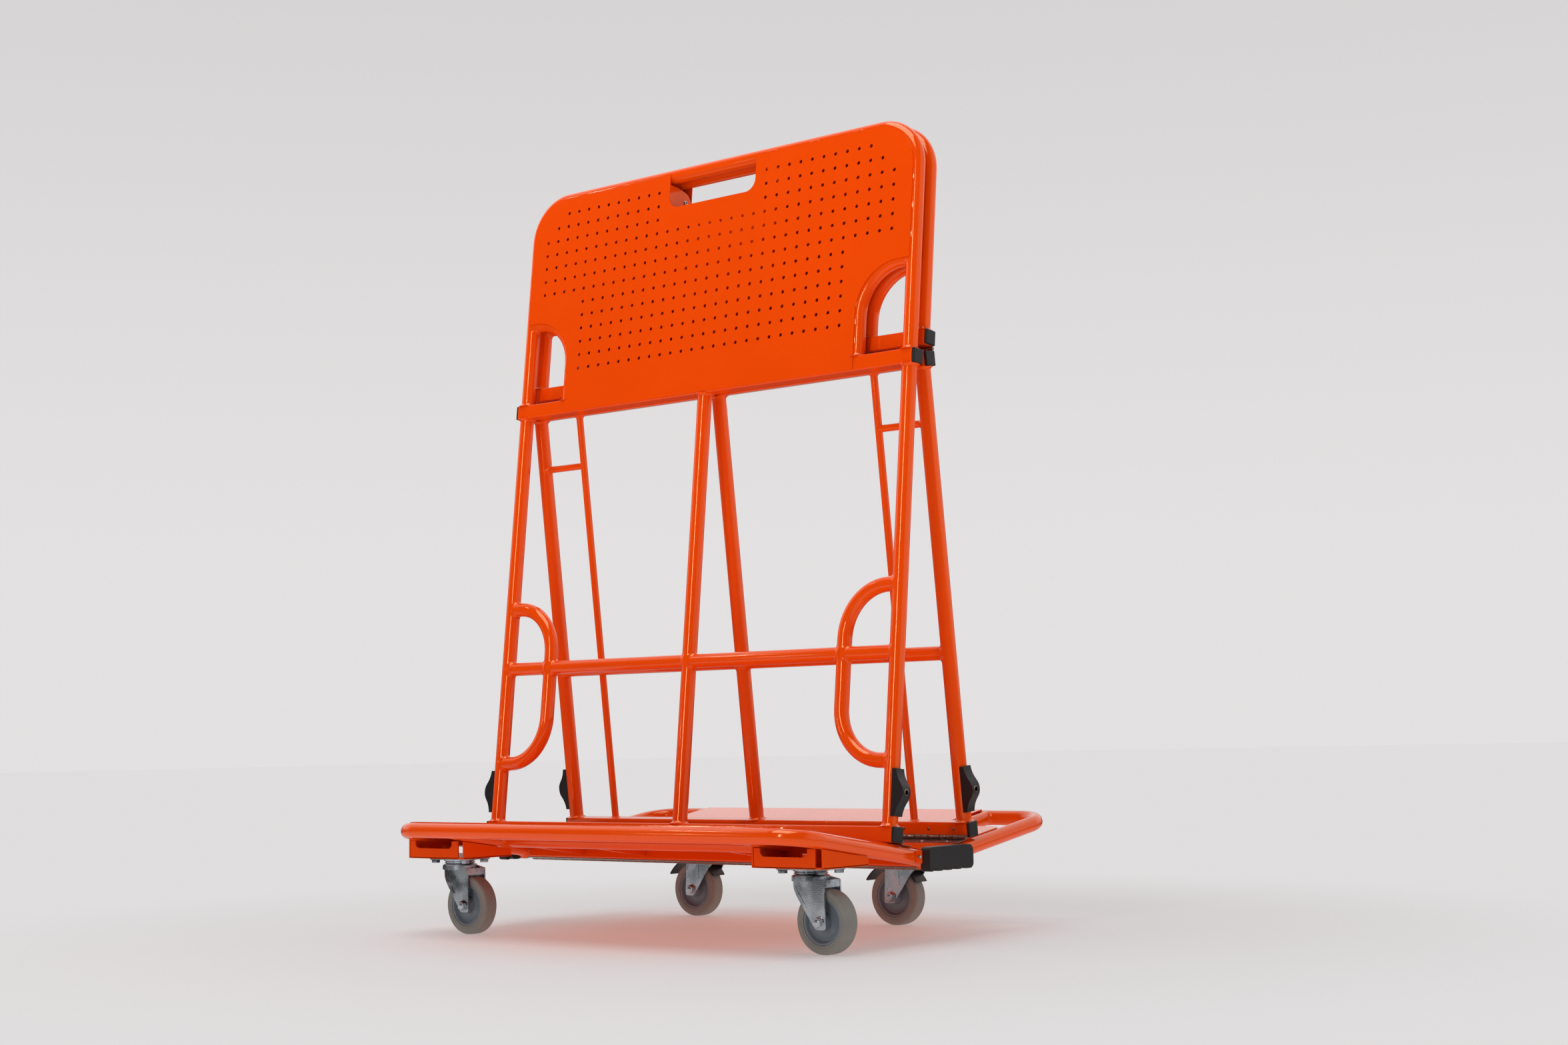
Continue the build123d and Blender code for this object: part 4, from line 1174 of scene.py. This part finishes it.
class CART_OT_stage(bpy.types.Operator):
    """Lay the pale floor, set the soft lights and place the camera"""

    bl_idname = "cart.stage"
    bl_label = "Studio stage"

    def execute(self, context):
        self.floor(context)
        self.surround(context)
        for name, (place, target, size, power) in LAMPS.items():
            self.lamp(context, name, place, target, size, power)
        self.camera(context)
        return {"FINISHED"}

    def floor(self, context):
        """A wide disc that fades into the backdrop far from the cart. Near the cart it keeps part of its
        glow, which paints light into the cart's shadow, and that glow carries the painted warm bounce.
        """
        colour = context.scene.cart_colours.floor
        bm = bmesh.new()
        bmesh.ops.create_circle(bm, cap_ends=True, segments=96, radius=FLOOR_RADIUS)
        mesh = bpy.data.meshes.new("floor")
        bm.to_mesh(mesh)
        bm.free()
        floor = bpy.data.objects.new("floor", mesh)
        context.scene.collection.objects.link(floor)
        paper = Finish(bpy.data.materials.new("floor_paper"))
        made = paper.node("ShaderNodeVectorMath", {"operation": "LENGTH"}, {0: paper.place})
        distance = Level(paper, made.outputs["Value"])
        rays = paper.node("ShaderNodeLightPath").outputs
        dimmed = 1.25 + 0.6 * paper.between(distance, 0.8, 2.2)
        power = 1.9 - 0.9 * Level(paper, rays["Is Camera Ray"]) - dimmed * Level(paper, rays["Is Glossy Ray"])
        # Near the cart the floor still glows at a share of 0.44, which paints light into the shadow under the
        # cart.
        away = 0.44 + 0.56 * paper.between(distance, 0.7, 1.7)
        # Painted warm bounce: under the cart the floor's glow takes the bounce colour instead of the floor
        # colour.
        painted_warm_bounce = paper.mixed(paper.between(distance, 0.15, 0.65), context.scene.cart_colours.painted_bounce, colour)
        matt = paper.node("ShaderNodeBsdfPrincipled", None, {
            "Base Color": paper.mixed(paper.noise(3.0), shaded(colour, 0.91), shaded(colour, 0.94)),
            "Roughness": 0.7,
            "Specular IOR Level": 0.2,
        })
        glow = paper.node("ShaderNodeEmission", None, {"Color": painted_warm_bounce, "Strength": power})
        blend = paper.node("ShaderNodeMixShader", None, {0: away, 1: matt.outputs[0], 2: glow.outputs[0]})
        paper.node("ShaderNodeOutputMaterial", None, {"Surface": blend.outputs[0]})
        mesh.materials.append(paper.material)

    def surround(self, context):
        """A pale backdrop all round in view, and a room lit from behind and from the right for the cart."""
        colour = context.scene.cart_colours.floor
        world = bpy.data.worlds.new("surround")
        context.scene.world = world
        room = Finish(world, "Generated")
        rays = room.node("ShaderNodeLightPath").outputs
        seen = Level(room, rays["Is Camera Ray"]) + Level(room, rays["Is Transmission Ray"])
        mirrored = Level(room, rays["Is Glossy Ray"])
        behind = room.between(self.along(room, BACK_WAY), 0.0, 0.45)
        rightward = room.between(self.along(room, RIGHT_WAY), 0.35, 0.8)
        height = Level(room, room.node("ShaderNodeSeparateXYZ", None, {0: room.place}).outputs[2])
        backdrop = 1.03 - 0.15 * room.between(height, 0.05, 0.4)
        reflected = room.maths("MAXIMUM", behind * (0.4 + 1.2 * room.between(height, 0.08, 0.26)), rightward)
        fill = 0.2 + room.maths("MAXIMUM", behind, rightward)
        strength = seen * backdrop + mirrored * (0.02 + 0.85 * reflected) + (1.0 - seen - mirrored) * fill
        light = room.node("ShaderNodeBackground", None, {"Color": colour, "Strength": strength})
        room.node("ShaderNodeOutputWorld", None, {"Surface": light.outputs[0]})

    def along(self, room, direction):
        """How far a ray into the room goes along a direction."""
        made = room.node("ShaderNodeVectorMath", {"operation": "DOT_PRODUCT"}, {0: room.place, 1: direction})
        return Level(room, made.outputs["Value"])

    def lamp(self, context, name, place, target, size, power):
        """A rectangular soft lamp that faces a target."""
        data = bpy.data.lights.new(name, "AREA")
        data.shape = "RECTANGLE"
        data.size, data.size_y = size
        data.energy = power
        lamp = bpy.data.objects.new(name, data)
        lamp.location = place
        lamp.rotation_euler = (Vector(target) - Vector(place)).to_track_quat("-Z", "Y").to_euler()
        context.scene.collection.objects.link(lamp)
        lamp.visible_camera = False

    def camera(self, context):
        """The camera as it was fitted to the grid of peg holes."""
        lens = bpy.data.cameras.new("camera")
        lens.sensor_width = SENSOR
        lens.lens = LENS
        camera = bpy.data.objects.new("camera", lens)
        camera.location = CAMERA_PLACE
        camera.rotation_euler = [math.radians(angle) for angle in CAMERA_TURN]
        context.scene.collection.objects.link(camera)
        context.scene.camera = camera
        context.scene.view_settings.view_transform = "Standard"


class CART_PT_panel(bpy.types.Panel):
    """Sizes, colours and a button for each group of pieces"""

    bl_idname = "CART_PT_panel"
    bl_label = "Panel cart"
    bl_space_type = "VIEW_3D"
    bl_region_type = "UI"
    bl_category = "Cart"

    def draw(self, context):
        for group in (context.scene.cart_sizes, context.scene.cart_colours):
            column = self.layout.column(align=True)
            for name in group.bl_rna.properties.keys():
                if name not in ("rna_type", "name"):
                    column.prop(group, name)
        for operator in OPERATORS:
            self.layout.operator(operator.bl_idname)


OPERATORS = (
    CART_OT_finishes,
    CART_OT_peg_panels,
    CART_OT_frame_tubes,
    CART_OT_cross_bars,
    CART_OT_leg_hinges,
    CART_OT_fold_hinge,
    CART_OT_deck_leaves,
    CART_OT_welds,
    CART_OT_caster_mounts,
    CART_OT_casters,
    CART_OT_fittings,
    CART_OT_stage,
)
CLASSES = (CartColours, CartSizes, *OPERATORS, CART_PT_panel)


def register():
    for cls in CLASSES:
        bpy.utils.register_class(cls)
    bpy.types.Scene.cart_colours = bpy.props.PointerProperty(type=CartColours)
    bpy.types.Scene.cart_sizes = bpy.props.PointerProperty(type=CartSizes)


def unregister():
    del bpy.types.Scene.cart_colours
    del bpy.types.Scene.cart_sizes
    for cls in reversed(CLASSES):
        bpy.utils.unregister_class(cls)


def main():
    """Register the sidebar and build every piece."""
    register()
    for operator in OPERATORS:
        group, name = operator.bl_idname.split(".")
        getattr(getattr(bpy.ops, group), name)()


if __name__ == "__main__":
    main()
